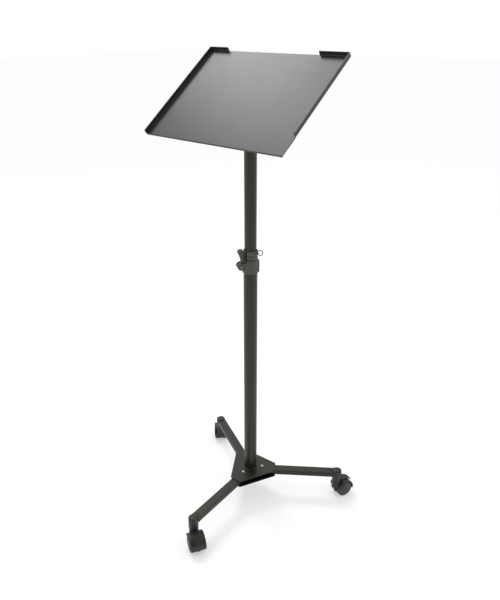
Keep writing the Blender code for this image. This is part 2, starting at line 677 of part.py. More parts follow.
def build_column(root, mast):
    tube = ring_mesh("lower_tube", LOWER_TUBE_BORE, LOWER_TUBE_RADIUS, LOWER_TUBE_BOTTOM, LOWER_TUBE_TOP)
    add_piece("lower_tube", tube, root, BLACK_COAT)

    bush_bore = UPPER_TUBE_RADIUS + SLIDE_GAP
    bush_outer = LOWER_TUBE_BORE - GAP
    flange_low = LOWER_TUBE_TOP + GAP
    flange_top = flange_low + GLIDE_FLANGE_THICKNESS
    bush = [
        (LOWER_TUBE_RADIUS, flange_top),
        (LOWER_TUBE_RADIUS, flange_low),
        (bush_outer, flange_low),
        (bush_outer, LOWER_TUBE_TOP - GLIDE_BUSH_LENGTH),
        (bush_bore, LOWER_TUBE_TOP - GLIDE_BUSH_LENGTH),
        (bush_bore, flange_top),
    ]
    add_piece("glide_bush", turned_mesh("glide_bush", bush, True), root, ACETAL)

    upper = ring_mesh("upper_tube", UPPER_TUBE_BORE, UPPER_TUBE_RADIUS, UPPER_TUBE_BOTTOM, UPPER_TUBE_TOP)
    add_piece("upper_tube", upper, mast, BLACK_COAT)

    spigot = UPPER_TUBE_BORE - GAP
    shoulder = UPPER_TUBE_BOTTOM - GAP
    foot = [
        (0, UPPER_TUBE_BOTTOM + MAST_BUSH_SPIGOT),
        (spigot, UPPER_TUBE_BOTTOM + MAST_BUSH_SPIGOT),
        (spigot, shoulder),
        (LOWER_TUBE_BORE - SLIDE_GAP, shoulder),
        (LOWER_TUBE_BORE - SLIDE_GAP, shoulder - MAST_BUSH_FLANGE),
        (0, shoulder - MAST_BUSH_FLANGE),
    ]
    add_piece("mast_bush", turned_mesh("mast_bush", foot, False), mast, ACETAL)


# ---------------------------------------------------------------- clamp collar


def outward(azimuth):
    """The turn that points a piece's Z away from the column at this azimuth."""
    return (0, pi / 2, azimuth)


def build_collar(root):
    low = COLLAR_BOTTOM
    step = low + SLEEVE_HEIGHT
    top = low + COLLAR_HEIGHT
    tube_bore = LOWER_TUBE_RADIUS + GAP
    ring_bore = UPPER_TUBE_RADIUS + SLIDE_GAP
    seat = LOWER_TUBE_TOP + GLIDE_FLANGE_THICKNESS + 2 * GAP
    profile = [
        (RING_RADIUS - COLLAR_EDGE, top),
        (RING_RADIUS, top - COLLAR_EDGE),
        (RING_RADIUS, step + COLLAR_EDGE),
        (SLEEVE_RADIUS, step - COLLAR_EDGE),
        (SLEEVE_RADIUS, low + COLLAR_EDGE),
        (SLEEVE_RADIUS - COLLAR_EDGE, low),
        (tube_bore, low),
        (tube_bore, seat),
        (ring_bore, seat),
        (ring_bore, top),
    ]
    collar = add_piece("clamp_collar", turned_mesh("clamp_collar", profile, True), root, MOULDED)

    beyond = SLEEVE_RADIUS + COLLAR_EDGE
    slot_low = (UPPER_TUBE_RADIUS - COLLAR_EDGE, -SLOT_WIDTH / 2, step - SLOT_IN_SLEEVE)
    slot_high = (beyond, SLOT_WIDTH / 2, top + COLLAR_EDGE)
    slot = box_mesh("collar_slot", slot_low, slot_high)
    cut(collar, add_cutter("collar_slot", slot, root, turn=(0, 0, SLOT_AZIMUTH)))

    rib_low = (tube_bore + COLLAR_EDGE, -RIB_WIDTH / 2, low + RIB_INSET)
    rib_high = (SLEEVE_RADIUS + RIB_DEPTH, RIB_WIDTH / 2, step - RIB_INSET)
    rib = box_mesh("collar_rib", rib_low, rib_high)
    weld_on(collar, add_cutter("collar_rib", rib, root, turn=(0, 0, RIB_AZIMUTH)))
    build_lever(root, collar)

    pin_place = (0, 0, low + PIN_HEIGHT)
    pin_boss = rod_mesh("pin_boss", PIN_BOSS_RADIUS, ring_bore + COLLAR_EDGE, RING_RADIUS + PIN_BOSS_RISE)
    weld_on(collar, add_cutter("pin_boss", pin_boss, root, pin_place, outward(PIN_AZIMUTH)))
    pin_hole = rod_mesh("pin_hole", PIN_RADIUS + GAP, ring_bore - COLLAR_EDGE, beyond, 12)
    cut(collar, add_cutter("pin_hole", pin_hole, root, pin_place, outward(PIN_AZIMUTH)))
    build_lock_pin(root, pin_place, ring_bore)


def lever_outline():
    """The lever from its side: x away from the column and y up, both from the pivot."""
    inner_face = [(-0.0065, 0.0045), (-0.0065, 0.0365)]
    finger_end = [
        (-0.0055, 0.0395),
        (-0.0020, 0.0415),
        (0.0020, 0.0417),
        (0.0050, 0.0401),
        (0.0066, 0.0371),
    ]
    outer_face = [
        (0.0060, 0.0343),
        (0.0042, 0.0312),
        (0.0024, 0.0260),
        (0.0008, 0.0205),
        (-0.0008, 0.0150),
        (-0.0020, 0.0115),
        (-0.0022, 0.0095),
    ]
    cam = arc(CAM_RADIUS, radians(78), radians(-215), 16)
    return inner_face + finger_end + outer_face + cam


def build_lever(root, collar):
    """A flip lever between two lugs: its cam presses a pad on the upper tube when it stands upright."""
    turn = (pi / 2, 0, LEVER_AZIMUTH)
    height = COLLAR_BOTTOM + LEVER_PIVOT_HEIGHT
    place = (LEVER_PIVOT_REACH * cos(LEVER_AZIMUTH), LEVER_PIVOT_REACH * sin(LEVER_AZIMUTH), height)
    lever = plate_mesh("clamp_lever", [lever_outline(), circle(LEVER_PIN_RADIUS + SLIDE_GAP)], LEVER_WIDTH)
    add_piece("clamp_lever", lever, root, MOULDED, place, turn)

    # The collar is hollowed for the cam and the lever's root, and its lugs stand on both sides.
    half_room = LEVER_WIDTH / 2 + SLIDE_GAP
    pocket = rod_mesh("cam_pocket", CAM_RADIUS + CAM_CLEARANCE, -half_room, half_room, 24)
    cut(collar, add_cutter("cam_pocket", pocket, root, place, turn))
    recess_low = (-CAM_RADIUS + CAM_CLEARANCE / 2, 0, -half_room)
    recess_high = (LUG_RADIUS, SLEEVE_HEIGHT - LEVER_PIVOT_HEIGHT + COLLAR_EDGE, half_room)
    recess = box_mesh("lever_recess", recess_low, recess_high)
    cut(collar, add_cutter("lever_recess", recess, root, place, turn))
    lug_end = arc(LUG_RADIUS, -pi / 2, pi / 2, 10)
    root_x = -LEVER_PIVOT_STANDOFF - LUG_EMBED
    lug_outline = lug_end + [(root_x, LUG_RADIUS), (root_x, -LUG_RADIUS)]
    for side, tag in ((-1, "near"), (1, "far")):
        lug = plate_mesh(f"lug_{tag}", [lug_outline], LUG_THICKNESS)
        lug.transform(Matrix.Translation((0, 0, side * (half_room + LUG_THICKNESS / 2))))
        weld_on(collar, add_cutter(f"lug_{tag}", lug, root, place, turn))

    head_low = half_room + LUG_THICKNESS + GAP
    head_high = head_low + LEVER_PIN_HEAD
    hole = rod_mesh("lever_pin_hole", LEVER_PIN_RADIUS + GAP, -head_high, head_high)
    cut(collar, add_cutter("lever_pin_hole", hole, root, place, turn))
    profile = [
        (0, head_high),
        (LEVER_PIN_HEAD_RADIUS, head_high),
        (LEVER_PIN_HEAD_RADIUS, head_low),
        (LEVER_PIN_RADIUS, head_low),
        (LEVER_PIN_RADIUS, -head_low),
        (LEVER_PIN_HEAD_RADIUS, -head_low),
        (LEVER_PIN_HEAD_RADIUS, -head_high),
        (0, -head_high),
    ]
    pin = turned_mesh("lever_pin", profile, False, SMALL_STEPS)
    add_piece("lever_pin", pin, root, ZINC, place, turn)

    pad_place = (0, 0, height)
    pad_low = UPPER_TUBE_RADIUS + SLIDE_GAP
    pad_high = LEVER_PIVOT_REACH - CAM_RADIUS - GAP
    pad_hole = rod_mesh("pad_hole", CLAMP_PAD_RADIUS + GAP, pad_low - COLLAR_EDGE, pad_high + COLLAR_EDGE)
    cut(collar, add_cutter("pad_hole", pad_hole, root, pad_place, outward(LEVER_AZIMUTH)))
    pad = rod_mesh("clamp_pad", CLAMP_PAD_RADIUS, pad_low, pad_high)
    add_piece("clamp_pad", pad, root, ACETAL, pad_place, outward(LEVER_AZIMUTH))


def build_lock_pin(root, place, ring_bore):
    turn = outward(PIN_AZIMUTH)
    head_low = RING_RADIUS + PIN_BOSS_RISE + GAP
    head_high = head_low + PIN_HEAD_LENGTH
    eye_middle = head_high + PIN_EYE_RADIUS - GAP
    profile = [
        (0, eye_middle),
        (PIN_RADIUS / 2, eye_middle),
        (PIN_RADIUS / 2, head_high),
        (PIN_HEAD_RADIUS, head_high),
        (PIN_HEAD_RADIUS, head_low),
        (PIN_RADIUS, head_low),
        (PIN_RADIUS, ring_bore + GAP),
        (0, ring_bore + GAP),
    ]
    turned = turned_mesh("lock_pin", profile, False, SMALL_STEPS)
    pin = add_piece("lock_pin", turned, root, ZINC, place, turn)
    # The eye is a flat tab that the ring passes through squarely.
    tilt_eye = Matrix.Translation((0, 0, eye_middle)) @ Matrix.Rotation(pi / 2 - PIN_RING_LEAN, 4, "Y")
    tab = rod_mesh("lock_pin_tab", PIN_EYE_RADIUS, -PIN_EYE_THICKNESS / 2, PIN_EYE_THICKNESS / 2)
    tab.transform(tilt_eye)
    weld_on(pin, add_cutter("lock_pin_tab", tab, root, place, turn))
    eye = rod_mesh("lock_pin_eye", PIN_RING_WIRE + SLIDE_GAP, -PIN_EYE_RADIUS, PIN_EYE_RADIUS, 12)
    eye.transform(tilt_eye)
    cut(pin, add_cutter("lock_pin_eye", eye, root, place, turn))

    bpy.ops.mesh.primitive_torus_add(
        major_radius=PIN_RING_RADIUS, minor_radius=PIN_RING_WIRE, major_segments=20, minor_segments=6
    )
    maker = bpy.context.active_object
    mesh = maker.data
    mesh.name = "lock_ring"
    bpy.data.objects.remove(maker, do_unlink=True)
    # The ring stands in the plane through the column's axis, up and out from the eye.
    centre = Vector((-sin(PIN_RING_LEAN), 0, cos(PIN_RING_LEAN))) * PIN_RING_RADIUS
    centre.z += eye_middle
    mesh.transform(Matrix.Translation(centre) @ Matrix.Rotation(pi / 2, 4, "X"))
    shade_round(mesh)
    add_piece("lock_ring", mesh, root, ZINC, place, turn)


# ---------------------------------------------------------------- tilt head and tray


def cheek_inner():
    return TONGUE_THICKNESS / 2 + 2 * SLIDE_GAP + FRICTION_WASHER_THICKNESS


def build_head(mast, pivot):
    cap_low = UPPER_TUBE_TOP + GAP
    cap_top = cap_low + HEAD_CAP_HEIGHT
    plug = UPPER_TUBE_BORE - GAP
    profile = [
        (0, cap_top),
        (UPPER_TUBE_RADIUS - COLLAR_EDGE, cap_top),
        (UPPER_TUBE_RADIUS, cap_top - COLLAR_EDGE),
        (UPPER_TUBE_RADIUS, cap_low),
        (plug, cap_low),
        (plug, UPPER_TUBE_TOP - HEAD_PLUG_LENGTH),
        (0, UPPER_TUBE_TOP - HEAD_PLUG_LENGTH),
    ]
    head = add_piece("head_fitting", turned_mesh("head_fitting", profile, False), mast, MOULDED)
    half = TONGUE_WIDTH / 2
    root_depth = PIVOT_HEIGHT - cap_top + HEAD_CAP_HEIGHT / 4
    outline = arc(half, 0, pi, 10) + [(-half, -root_depth), (half, -root_depth)]
    across = (pi / 2, 0, pi / 2)
    tongue = plate_mesh("head_tongue", [outline], TONGUE_THICKNESS)
    weld_on(head, add_cutter("head_tongue", tongue, mast, (0, 0, PIVOT_HEIGHT), across))
    hole = rod_mesh("head_hole", TILT_BOLT_RADIUS + SLIDE_GAP, -TONGUE_THICKNESS, TONGUE_THICKNESS)
    cut(head, add_cutter("head_hole", hole, mast, (0, 0, PIVOT_HEIGHT), across))
    washer_inner = TONGUE_THICKNESS / 2 + SLIDE_GAP
    for number, side in enumerate((-1, 1), 1):
        name = f"friction_washer_{number}"
        low, high = sorted((side * washer_inner, side * (washer_inner + FRICTION_WASHER_THICKNESS)))
        washer = ring_mesh(name, TILT_BOLT_RADIUS + GAP, FRICTION_WASHER_RADIUS, low, high, 20)
        add_piece(name, washer, pivot, ACETAL, turn=(0, pi / 2, 0))


def build_tilt_bolt(pivot):
    """The bolt lies along X, with its head on the left and the knob on its right end."""
    across = (0, pi / 2, 0)
    cheek_outer = cheek_inner() + BRACKET_THICKNESS
    head_outer = -(cheek_outer + GAP + TILT_BOLT_HEAD)
    knob_low = cheek_outer + SLIDE_GAP
    knob_high = knob_low + TILT_KNOB_LENGTH
    shaft_end = knob_low + TILT_BOLT_IN_KNOB
    profile = [
        (0, shaft_end),
        (TILT_BOLT_RADIUS, shaft_end),
        (TILT_BOLT_RADIUS, -(cheek_outer + GAP)),
        (TILT_BOLT_HEAD_RADIUS, -(cheek_outer + GAP)),
        (TILT_BOLT_HEAD_RADIUS, head_outer + TILT_BOLT_HEAD_ROUNDING),
        (TILT_BOLT_HEAD_RADIUS - TILT_BOLT_HEAD_ROUNDING, head_outer),
        (0, head_outer),
    ]
    add_piece("tilt_bolt", turned_mesh("tilt_bolt", profile, False, 20), pivot, ZINC, turn=across)
    steps = TILT_KNOB_LOBES * 6
    outline = []
    for step in range(steps):
        angle = 2 * pi * step / steps
        radius = TILT_KNOB_RADIUS - TILT_KNOB_LOBE_DEPTH * (1 - cos(TILT_KNOB_LOBES * angle)) / 2
        outline.append((radius * cos(angle), radius * sin(angle)))
    mesh = plate_mesh("tilt_knob", [outline], TILT_KNOB_GRIP)
    grip_middle = knob_high - TILT_KNOB_GRIP / 2
    mesh.transform(Matrix.Translation((0, 0, grip_middle)))
    knob = add_piece("tilt_knob", mesh, pivot, MOULDED, turn=across)
    neck = rod_mesh("tilt_knob_neck", TILT_KNOB_NECK_RADIUS, knob_low, grip_middle, 24)
    weld_on(knob, add_cutter("tilt_knob_neck", neck, pivot, turn=across))
    hole = rod_mesh("tilt_knob_hole", TILT_BOLT_RADIUS + GAP, 0, shaft_end + GAP)
    cut(knob, add_cutter("tilt_knob_hole", hole, pivot, turn=across))


def stud_places():
    """The four studs, two to each side of the pivot's axis."""
    x, y = STUD_SPACING_X / 2, STUD_SPACING_Y / 2
    return [(-x, -y), (x, -y), (-x, y), (x, y)]


def build_bracket(pivot):
    """A plate under the tray with two cheeks that come down on either side of the tongue."""
    top = TRAY_RISE - TRAY_SHEET - GAP
    low = top - BRACKET_THICKNESS
    outline = rounded_rectangle(BRACKET_WIDTH, BRACKET_DEPTH, BRACKET_CORNER)
    web = plate_mesh("tray_bracket", [outline], BRACKET_THICKNESS)
    bracket = add_piece("tray_bracket", web, pivot, BLACK_COAT, (0, 0, (top + low) / 2))
    half = CHEEK_WIDTH / 2
    cheek_top = (top + low) / 2
    cheek_outline = arc(CHEEK_END_RADIUS, pi, 2 * pi, 10) + [(half, cheek_top), (-half, cheek_top)]
    middle = cheek_inner() + BRACKET_THICKNESS / 2
    across = (pi / 2, 0, pi / 2)
    for side in (-1, 1):
        tag = "left" if side < 0 else "right"
        cheek = plate_mesh(f"cheek_{tag}", [cheek_outline], BRACKET_THICKNESS)
        weld_on(bracket, add_cutter(f"cheek_{tag}", cheek, pivot, (side * middle, 0, 0), across))
    hole = rod_mesh("cheek_hole", TILT_BOLT_RADIUS + GAP, -TONGUE_WIDTH, TONGUE_WIDTH)
    cut(bracket, add_cutter("cheek_hole", hole, pivot, turn=(0, pi / 2, 0)))
    for number, (x, y) in enumerate(stud_places(), 1):
        stud_hole = rod_mesh(f"stud_hole_{number}", STUD_RADIUS + GAP, 2 * low - top, 2 * top - low, 12)
        cut(bracket, add_cutter(f"stud_hole_{number}", stud_hole, pivot, (x, y, 0)))
        nut_outlines = [hexagon(TRAY_NUT_ACROSS_FLATS), circle(STUD_RADIUS + GAP, 12)]
        nut = plate_mesh(f"tray_nut_{number}", nut_outlines, TRAY_NUT_HEIGHT)
        nut_place = (x, y, low - GAP - TRAY_NUT_HEIGHT / 2)
        add_piece(f"tray_nut_{number}", nut, pivot, ZINC, nut_place)


def build_tray(pivot):
    """One folded sheet. Local x runs across, y up the slope, z out of the top surface."""
    panel_frame = frame("tray_panel_frame", pivot, (TRAY_SHIFT, TRAY_UPHILL, TRAY_RISE))
    # The fold lines lie one sheet inside the lips' outer faces.
    left = -TRAY_WIDTH / 2 + TRAY_SHEET
    right = TRAY_WIDTH / 2 - TRAY_SHEET
    low = -TRAY_DEPTH / 2
    high = TRAY_DEPTH / 2 - TRAY_SHEET
    across = [left, left + LEFT_CORNER_LIP, right - RIGHT_CORNER_LIP, right]
    uphill = [low, low + RIGHT_LIP_STOP, high]
    bm = bmesh.new()
    bmesh.ops.create_grid(bm, x_segments=len(across) - 1, y_segments=len(uphill) - 1, size=1)
    for vert in bm.verts:
        column = round((vert.co.x + 1) / 2 * (len(across) - 1))
        row = round((vert.co.y + 1) / 2 * (len(uphill) - 1))
        vert.co = (across[column], uphill[row], 0)

    def along(edge, axis, value):
        return all(abs(vert.co[axis] - value) < 1e-6 for vert in edge.verts)

    lips = []
    for edge in bm.edges:
        if not edge.is_boundary:
            continue
        middle = (edge.verts[0].co + edge.verts[1].co) / 2
        on_side = along(edge, 0, left) or (along(edge, 0, right) and middle.y > uphill[1])
        in_corner = middle.x < across[1] or middle.x > across[2]
        if on_side or (along(edge, 1, high) and in_corner):
            lips.append(edge)
    flange = [edge for edge in bm.edges if along(edge, 1, low)]
    for edges, rise in ((lips, TRAY_LIP), (flange, -TRAY_FLANGE - TRAY_SHEET)):
        made = bmesh.ops.extrude_edge_only(bm, edges=edges)["geom"]
        verts = [item for item in made if isinstance(item, bmesh.types.BMVert)]
        bmesh.ops.translate(bm, verts=verts, vec=(0, 0, rise))
    bmesh.ops.recalc_face_normals(bm, faces=bm.faces)
    base = max(bm.faces, key=lambda face: face.calc_area())
    if base.normal.z < 0:
        bmesh.ops.reverse_faces(bm, faces=bm.faces)
    mesh = mesh_from(bm, "tray_panel")
    panel = add_piece("tray_panel", mesh, panel_frame, TRAY_COAT)
    fold = panel.modifiers.new("fold radius", "BEVEL")
    fold.width = TRAY_FOLD_RADIUS
    fold.segments = 2
    fold.limit_method = "ANGLE"
    fold.angle_limit = radians(40)
    sheet = panel.modifiers.new("sheet", "SOLIDIFY")
    sheet.thickness = TRAY_SHEET
    sheet.offset = -1
    sheet.use_even_offset = True
    for number, (x, y) in enumerate(stud_places(), 1):
        stud_top = TRAY_RISE - TRAY_SHEET / 2
        stud = rod_mesh(f"tray_stud_{number}", STUD_RADIUS, stud_top - STUD_LENGTH, stud_top, 12)
        weld_on(panel, add_cutter(f"tray_stud_{number}", stud, pivot, (x, y, 0)))


# ---------------------------------------------------------------- assembly


def centre_on_footprint(root):
    """Moves the root frame so that the whole object's box is centred on x = y = 0."""
    bpy.context.view_layer.update()
    graph = bpy.context.evaluated_depsgraph_get()
    points = []
    for piece in PARTS.objects:
        if piece.type == "MESH":
            evaluated = piece.evaluated_get(graph)
            points += [evaluated.matrix_world @ vert.co for vert in evaluated.data.vertices]
    for axis in (0, 1):
        values = [point[axis] for point in points]
        root.location[axis] = -(min(values) + max(values)) / 2


def build_lectern():
    root = frame("lectern_frame", None)
    mast = frame("mast_frame", root)
    pivot = frame("tilt_axis", mast, (0, 0, PIVOT_HEIGHT), (TILT, 0, 0))
    legs = [
        frame(f"leg_frame_{number}", root, turn=(0, 0, azimuth))
        for number, azimuth in enumerate(LEG_AZIMUTHS, 1)
    ]
    build_hub(root, legs)
    build_column_fixing(root)
    for number, leg in enumerate(legs, 1):
        build_leg(number, leg)
        trail = TRAIL_AZIMUTHS[number - 1] - LEG_AZIMUTHS[number - 1]
        swivel = frame(f"swivel_axis_{number}", leg, (LEG_REACH, 0, 0), (0, 0, trail))
        build_caster(number, swivel)
    build_column(root, mast)
    build_collar(root)
    build_head(mast, pivot)
    build_tilt_bolt(pivot)
    build_bracket(pivot)
    build_tray(pivot)
    centre_on_footprint(root)
    bpy.context.view_layer.update()


build_lectern()
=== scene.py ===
import json
from math import asin, atan2, cos, pi, radians, sin

import bmesh
import bpy
from mathutils import Matrix, Vector


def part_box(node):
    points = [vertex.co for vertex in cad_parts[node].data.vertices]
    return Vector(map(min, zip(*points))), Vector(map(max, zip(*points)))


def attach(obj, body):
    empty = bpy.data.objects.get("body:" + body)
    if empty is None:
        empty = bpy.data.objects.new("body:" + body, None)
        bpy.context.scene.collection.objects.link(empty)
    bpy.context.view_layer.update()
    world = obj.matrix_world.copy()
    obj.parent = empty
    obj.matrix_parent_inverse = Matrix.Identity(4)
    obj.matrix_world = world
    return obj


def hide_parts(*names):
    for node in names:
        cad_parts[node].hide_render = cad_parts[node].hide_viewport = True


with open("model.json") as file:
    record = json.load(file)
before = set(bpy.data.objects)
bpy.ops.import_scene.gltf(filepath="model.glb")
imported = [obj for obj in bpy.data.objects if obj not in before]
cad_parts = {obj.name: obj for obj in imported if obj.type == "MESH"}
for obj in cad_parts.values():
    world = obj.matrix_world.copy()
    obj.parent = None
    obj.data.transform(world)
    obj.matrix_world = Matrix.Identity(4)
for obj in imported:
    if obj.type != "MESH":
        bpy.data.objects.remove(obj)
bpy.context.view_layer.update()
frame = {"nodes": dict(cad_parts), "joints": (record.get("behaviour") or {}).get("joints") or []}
print("frame loaded,", len(frame["nodes"]), "nodes")

joints = {joint["name"]: joint for joint in frame["joints"]}
columnSpot = Vector(joints["mast_turn"]["pos_m"])
columnSpot.z = 0
collection = bpy.context.scene.collection
gap = 0.0003  # between pieces that touch


class Wire:
    # an output socket that can be used in sums; each operation adds a Math node
    def __init__(self, paint, socket):
        self.paint = paint
        self.socket = socket

    def __add__(self, other):
        return self.paint.maths("ADD", self, other)

    def __radd__(self, other):
        return self.paint.maths("ADD", other, self)

    def __sub__(self, other):
        return self.paint.maths("SUBTRACT", self, other)

    def __rsub__(self, other):
        return self.paint.maths("SUBTRACT", other, self)

    def __mul__(self, other):
        return self.paint.maths("MULTIPLY", self, other)

    def __rmul__(self, other):
        return self.paint.maths("MULTIPLY", other, self)


class Paint:
    # one material; fixed holds the sockets that are the same all over
    def __init__(self, name, fixed):
        self.material = bpy.data.materials.new(name)
        self.material.use_nodes = True
        self.tree = self.material.node_tree
        self.shader = self.tree.nodes["Principled BSDF"]
        for socket, value in fixed.items():
            self.shader.inputs[socket].default_value = value
        self.spot = self.node("ShaderNodeTexCoord", output="Object")

    def plug(self, socket, value):
        if isinstance(value, Wire):
            self.tree.links.new(value.socket, socket)
        else:
            socket.default_value = value

    def node(self, kind, settings=None, inputs=None, output=0):
        made = self.tree.nodes.new(kind)
        for key, value in (settings or {}).items():
            setattr(made, key, value)
        for key, value in (inputs or {}).items():
            self.plug(made.inputs[key], value)
        return Wire(self, made.outputs[output])

    def maths(self, operation, first, second):
        return self.node("ShaderNodeMath", {"operation": operation}, {0: first, 1: second})

    def stretch(self, x, y, z):
        return self.node("ShaderNodeVectorMath", {"operation": "MULTIPLY"}, {0: self.spot, 1: (x, y, z)})

    def noise(self, scale, detail=2.0, roughness=0.5, spot=None):
        values = {"Vector": spot or self.spot, "Scale": scale, "Detail": detail, "Roughness": roughness}
        return self.node("ShaderNodeTexNoise", None, values)

    def within(self, value, low, high):
        # 0 below low and 1 above high, with a soft step between
        settings = {"interpolation_type": "SMOOTHSTEP", "clamp": True}
        return self.node("ShaderNodeMapRange", settings, {"Value": value, 1: low, 2: high})

    def blend(self, share, first, second):
        settings = {"data_type": "RGBA", "clamp_factor": True}
        return self.node("ShaderNodeMix", settings, {0: share, 6: (*first, 1), 7: (*second, 1)}, 2)

    def bump(self, height, depth, strength):
        values = {"Height": height, "Distance": depth, "Strength": strength}
        return self.node("ShaderNodeBump", None, values)

    def finish(self, colour, roughness, normal):
        for socket, value in (("Base Color", colour), ("Roughness", roughness), ("Normal", normal)):
            self.plug(self.shader.inputs[socket], value)
        return self.material


coatLook = {
    "dark": (0.0105, 0.0108, 0.0092),
    "light": (0.0165, 0.0170, 0.0145),
    "peelScale": 750,  # the powder's fine orange peel, about 1.3 mm
    "peelDepth": 0.000035,
    "streakShare": 0.05,
    "roughness": 0.36,
}


def powderCoat(name, look):
    paint = Paint(name, {"Specular IOR Level": 0.42, "IOR": 1.5, "Specular Tint": (1, 1, 0.88, 1)})
    cloud = paint.noise(38, 4, 0.6)
    peel = paint.noise(look["peelScale"], 2.5, 0.55)
    streaks = paint.noise(1, 3, 0.6, paint.stretch(900, 900, 9))
    dust = paint.within(paint.noise(2600, 2, 0.7), 0.71, 0.80)
    colour = paint.blend(cloud * 0.8 + dust * 0.35, look["dark"], look["light"])
    roughness = look["roughness"] + (cloud - 0.5) * 0.09 + (streaks - 0.5) * look["streakShare"] + dust * 0.1
    return paint.finish(colour, roughness, paint.bump(peel, look["peelDepth"], 0.8))


trayLook = {
    "dark": (0.0200, 0.0205, 0.0190),
    "light": (0.0265, 0.0270, 0.0252),
    "grainScale": 1300,
    "grainDepth": 0.00003,
    "roughness": 0.40,
}


def trayCoat(name, look):
    paint = Paint(name, {"Specular IOR Level": 0.5, "IOR": 1.5, "Specular Tint": (1, 0.99, 0.95, 1)})
    cloud = paint.noise(9, 5, 0.55)
    grain = paint.noise(look["grainScale"], 2, 0.5)
    rolled = paint.noise(1, 3, 0.6, paint.stretch(14, 520, 520))  # along the sheet's width
    handled = paint.within(paint.noise(24, 5, 0.65), 0.50, 0.78)
    colour = paint.blend(cloud * 0.7 + grain * 0.3, look["dark"], look["light"])
    roughness = look["roughness"] + (cloud - 0.5) * 0.05 + (rolled - 0.5) * 0.03 + handled * 0.03
    return paint.finish(colour, roughness, paint.bump(grain, look["grainDepth"], 0.7))


mouldLook = {
    "dark": (0.0120, 0.0124, 0.0112),
    "light": (0.0210, 0.0216, 0.0196),
    "grainScale": 1900,  # spark-eroded texture, about half a millimetre
    "grainDepth": 0.00005,
    "roughness": 0.47,
}


def mouldedPlastic(name, look):
    paint = Paint(name, {"Specular IOR Level": 0.46, "IOR": 1.49, "Specular Tint": (1, 1, 0.9, 1)})
    cell = paint.node("ShaderNodeTexVoronoi", None, {"Vector": paint.spot, "Scale": look["grainScale"]})
    grain = paint.noise(look["grainScale"], 2, 0.6) * 0.7 + cell * 0.3
    flow = paint.noise(55, 4, 0.6)
    handled = paint.within(paint.noise(130, 3, 0.6), 0.48, 0.72)
    colour = paint.blend(flow * 0.7 + grain * 0.4, look["dark"], look["light"])
    roughness = look["roughness"] + (flow - 0.5) * 0.10 - handled * 0.05
    return paint.finish(colour, roughness, paint.bump(grain, look["grainDepth"], 0.7))


clampLook = {
    **mouldLook,
    "dark": (0.0500, 0.0520, 0.0470),
    "light": (0.0740, 0.0765, 0.0690),
    "roughness": 0.50,
}


wheelLook = {
    "dark": (0.0150, 0.0155, 0.0150),
    "light": (0.0230, 0.0236, 0.0226),
    "roughness": 0.44,
}


def wheelNylon(name, look):
    paint = Paint(name, {"Specular IOR Level": 0.45, "IOR": 1.53})
    flow = paint.noise(70, 4, 0.6)
    scuff = paint.within(paint.noise(420, 4, 0.7), 0.52, 0.74)
    fine = paint.noise(1500, 2, 0.5)
    colour = paint.blend(flow * 0.5 + scuff * 0.5, look["dark"], look["light"])
    roughness = look["roughness"] + scuff * 0.12 + (flow - 0.5) * 0.06
    return paint.finish(colour, roughness, paint.bump(fine + scuff * 0.6, 0.00003, 0.6))


zincLook = {"dark": (0.40, 0.40, 0.385), "light": (0.58, 0.58, 0.56), "roughness": 0.26}
chromeLook = {"dark": (0.10, 0.10, 0.096), "light": (0.22, 0.22, 0.21), "roughness": 0.18}


def zincPlate(name, look):
    paint = Paint(name, {"Metallic": 1.0})
    bloom = paint.noise(210, 4, 0.6)
    fine = paint.noise(2400, 2, 0.5)
    dull = paint.within(paint.noise(620, 3, 0.6), 0.50, 0.70)
    colour = paint.blend(bloom * 0.8 + fine * 0.2, look["dark"], look["light"])
    roughness = look["roughness"] + dull * 0.13 + (bloom - 0.5) * 0.08
    return paint.finish(colour, roughness, paint.bump(fine, 0.00002, 0.5))


acetalLook = {"dark": (0.60, 0.59, 0.55), "light": (0.74, 0.73, 0.69), "roughness": 0.42}


def whiteAcetal(name, look):
    paint = Paint(name, {"Specular IOR Level": 0.45, "IOR": 1.48})
    flow = paint.noise(160, 3, 0.55)
    turned = paint.noise(1, 2, 0.5, paint.stretch(260, 260, 4200))
    colour = paint.blend(flow, look["dark"], look["light"])
    return paint.finish(colour, look["roughness"] + (flow - 0.5) * 0.1, paint.bump(turned, 0.00002, 0.5))


blackCoat = powderCoat("blackPowderCoat", coatLook)
panelCoat = trayCoat("satinTrayCoat", trayLook)
blackMoulding = mouldedPlastic("mouldedBlackPlastic", mouldLook)
clampMoulding = mouldedPlastic("clampGreyBlackPlastic", clampLook)
tyreNylon = wheelNylon("wheelNylon", wheelLook)
brightZinc = zincPlate("brightZinc", zincLook)
darkChrome = zincPlate("darkChrome", chromeLook)
naturalAcetal = whiteAcetal("naturalAcetal", acetalLook)
slotMaterials = {
    "black_coat": blackCoat,
    "tray_coat": panelCoat,
    "moulded_plastic": blackMoulding,
    "wheel_nylon": tyreNylon,
    "zinc": brightZinc,
    "acetal": naturalAcetal,
}
print("materials made:", len(slotMaterials))


def outline(spots, closed=True, rounds=4):
    # a flat shape in x and y; a third number in a spot rounds that corner
    bm = bmesh.new()
    verts = [bm.verts.new((spot[0], spot[1], 0)) for spot in spots]
    if closed:
        bm.faces.new(verts)
    else:
        for pair in zip(verts, verts[1:]):
            bm.edges.new(pair)
    for size in sorted({spot[2] for spot in spots if len(spot) > 2}):
        corners = [vert for vert, spot in zip(verts, spots) if len(spot) > 2 and spot[2] == size]
        bmesh.ops.bevel(
            bm, geom=corners, offset=size, segments=rounds, profile=0.5, affect="VERTICES", material=-1
        )
    return bm


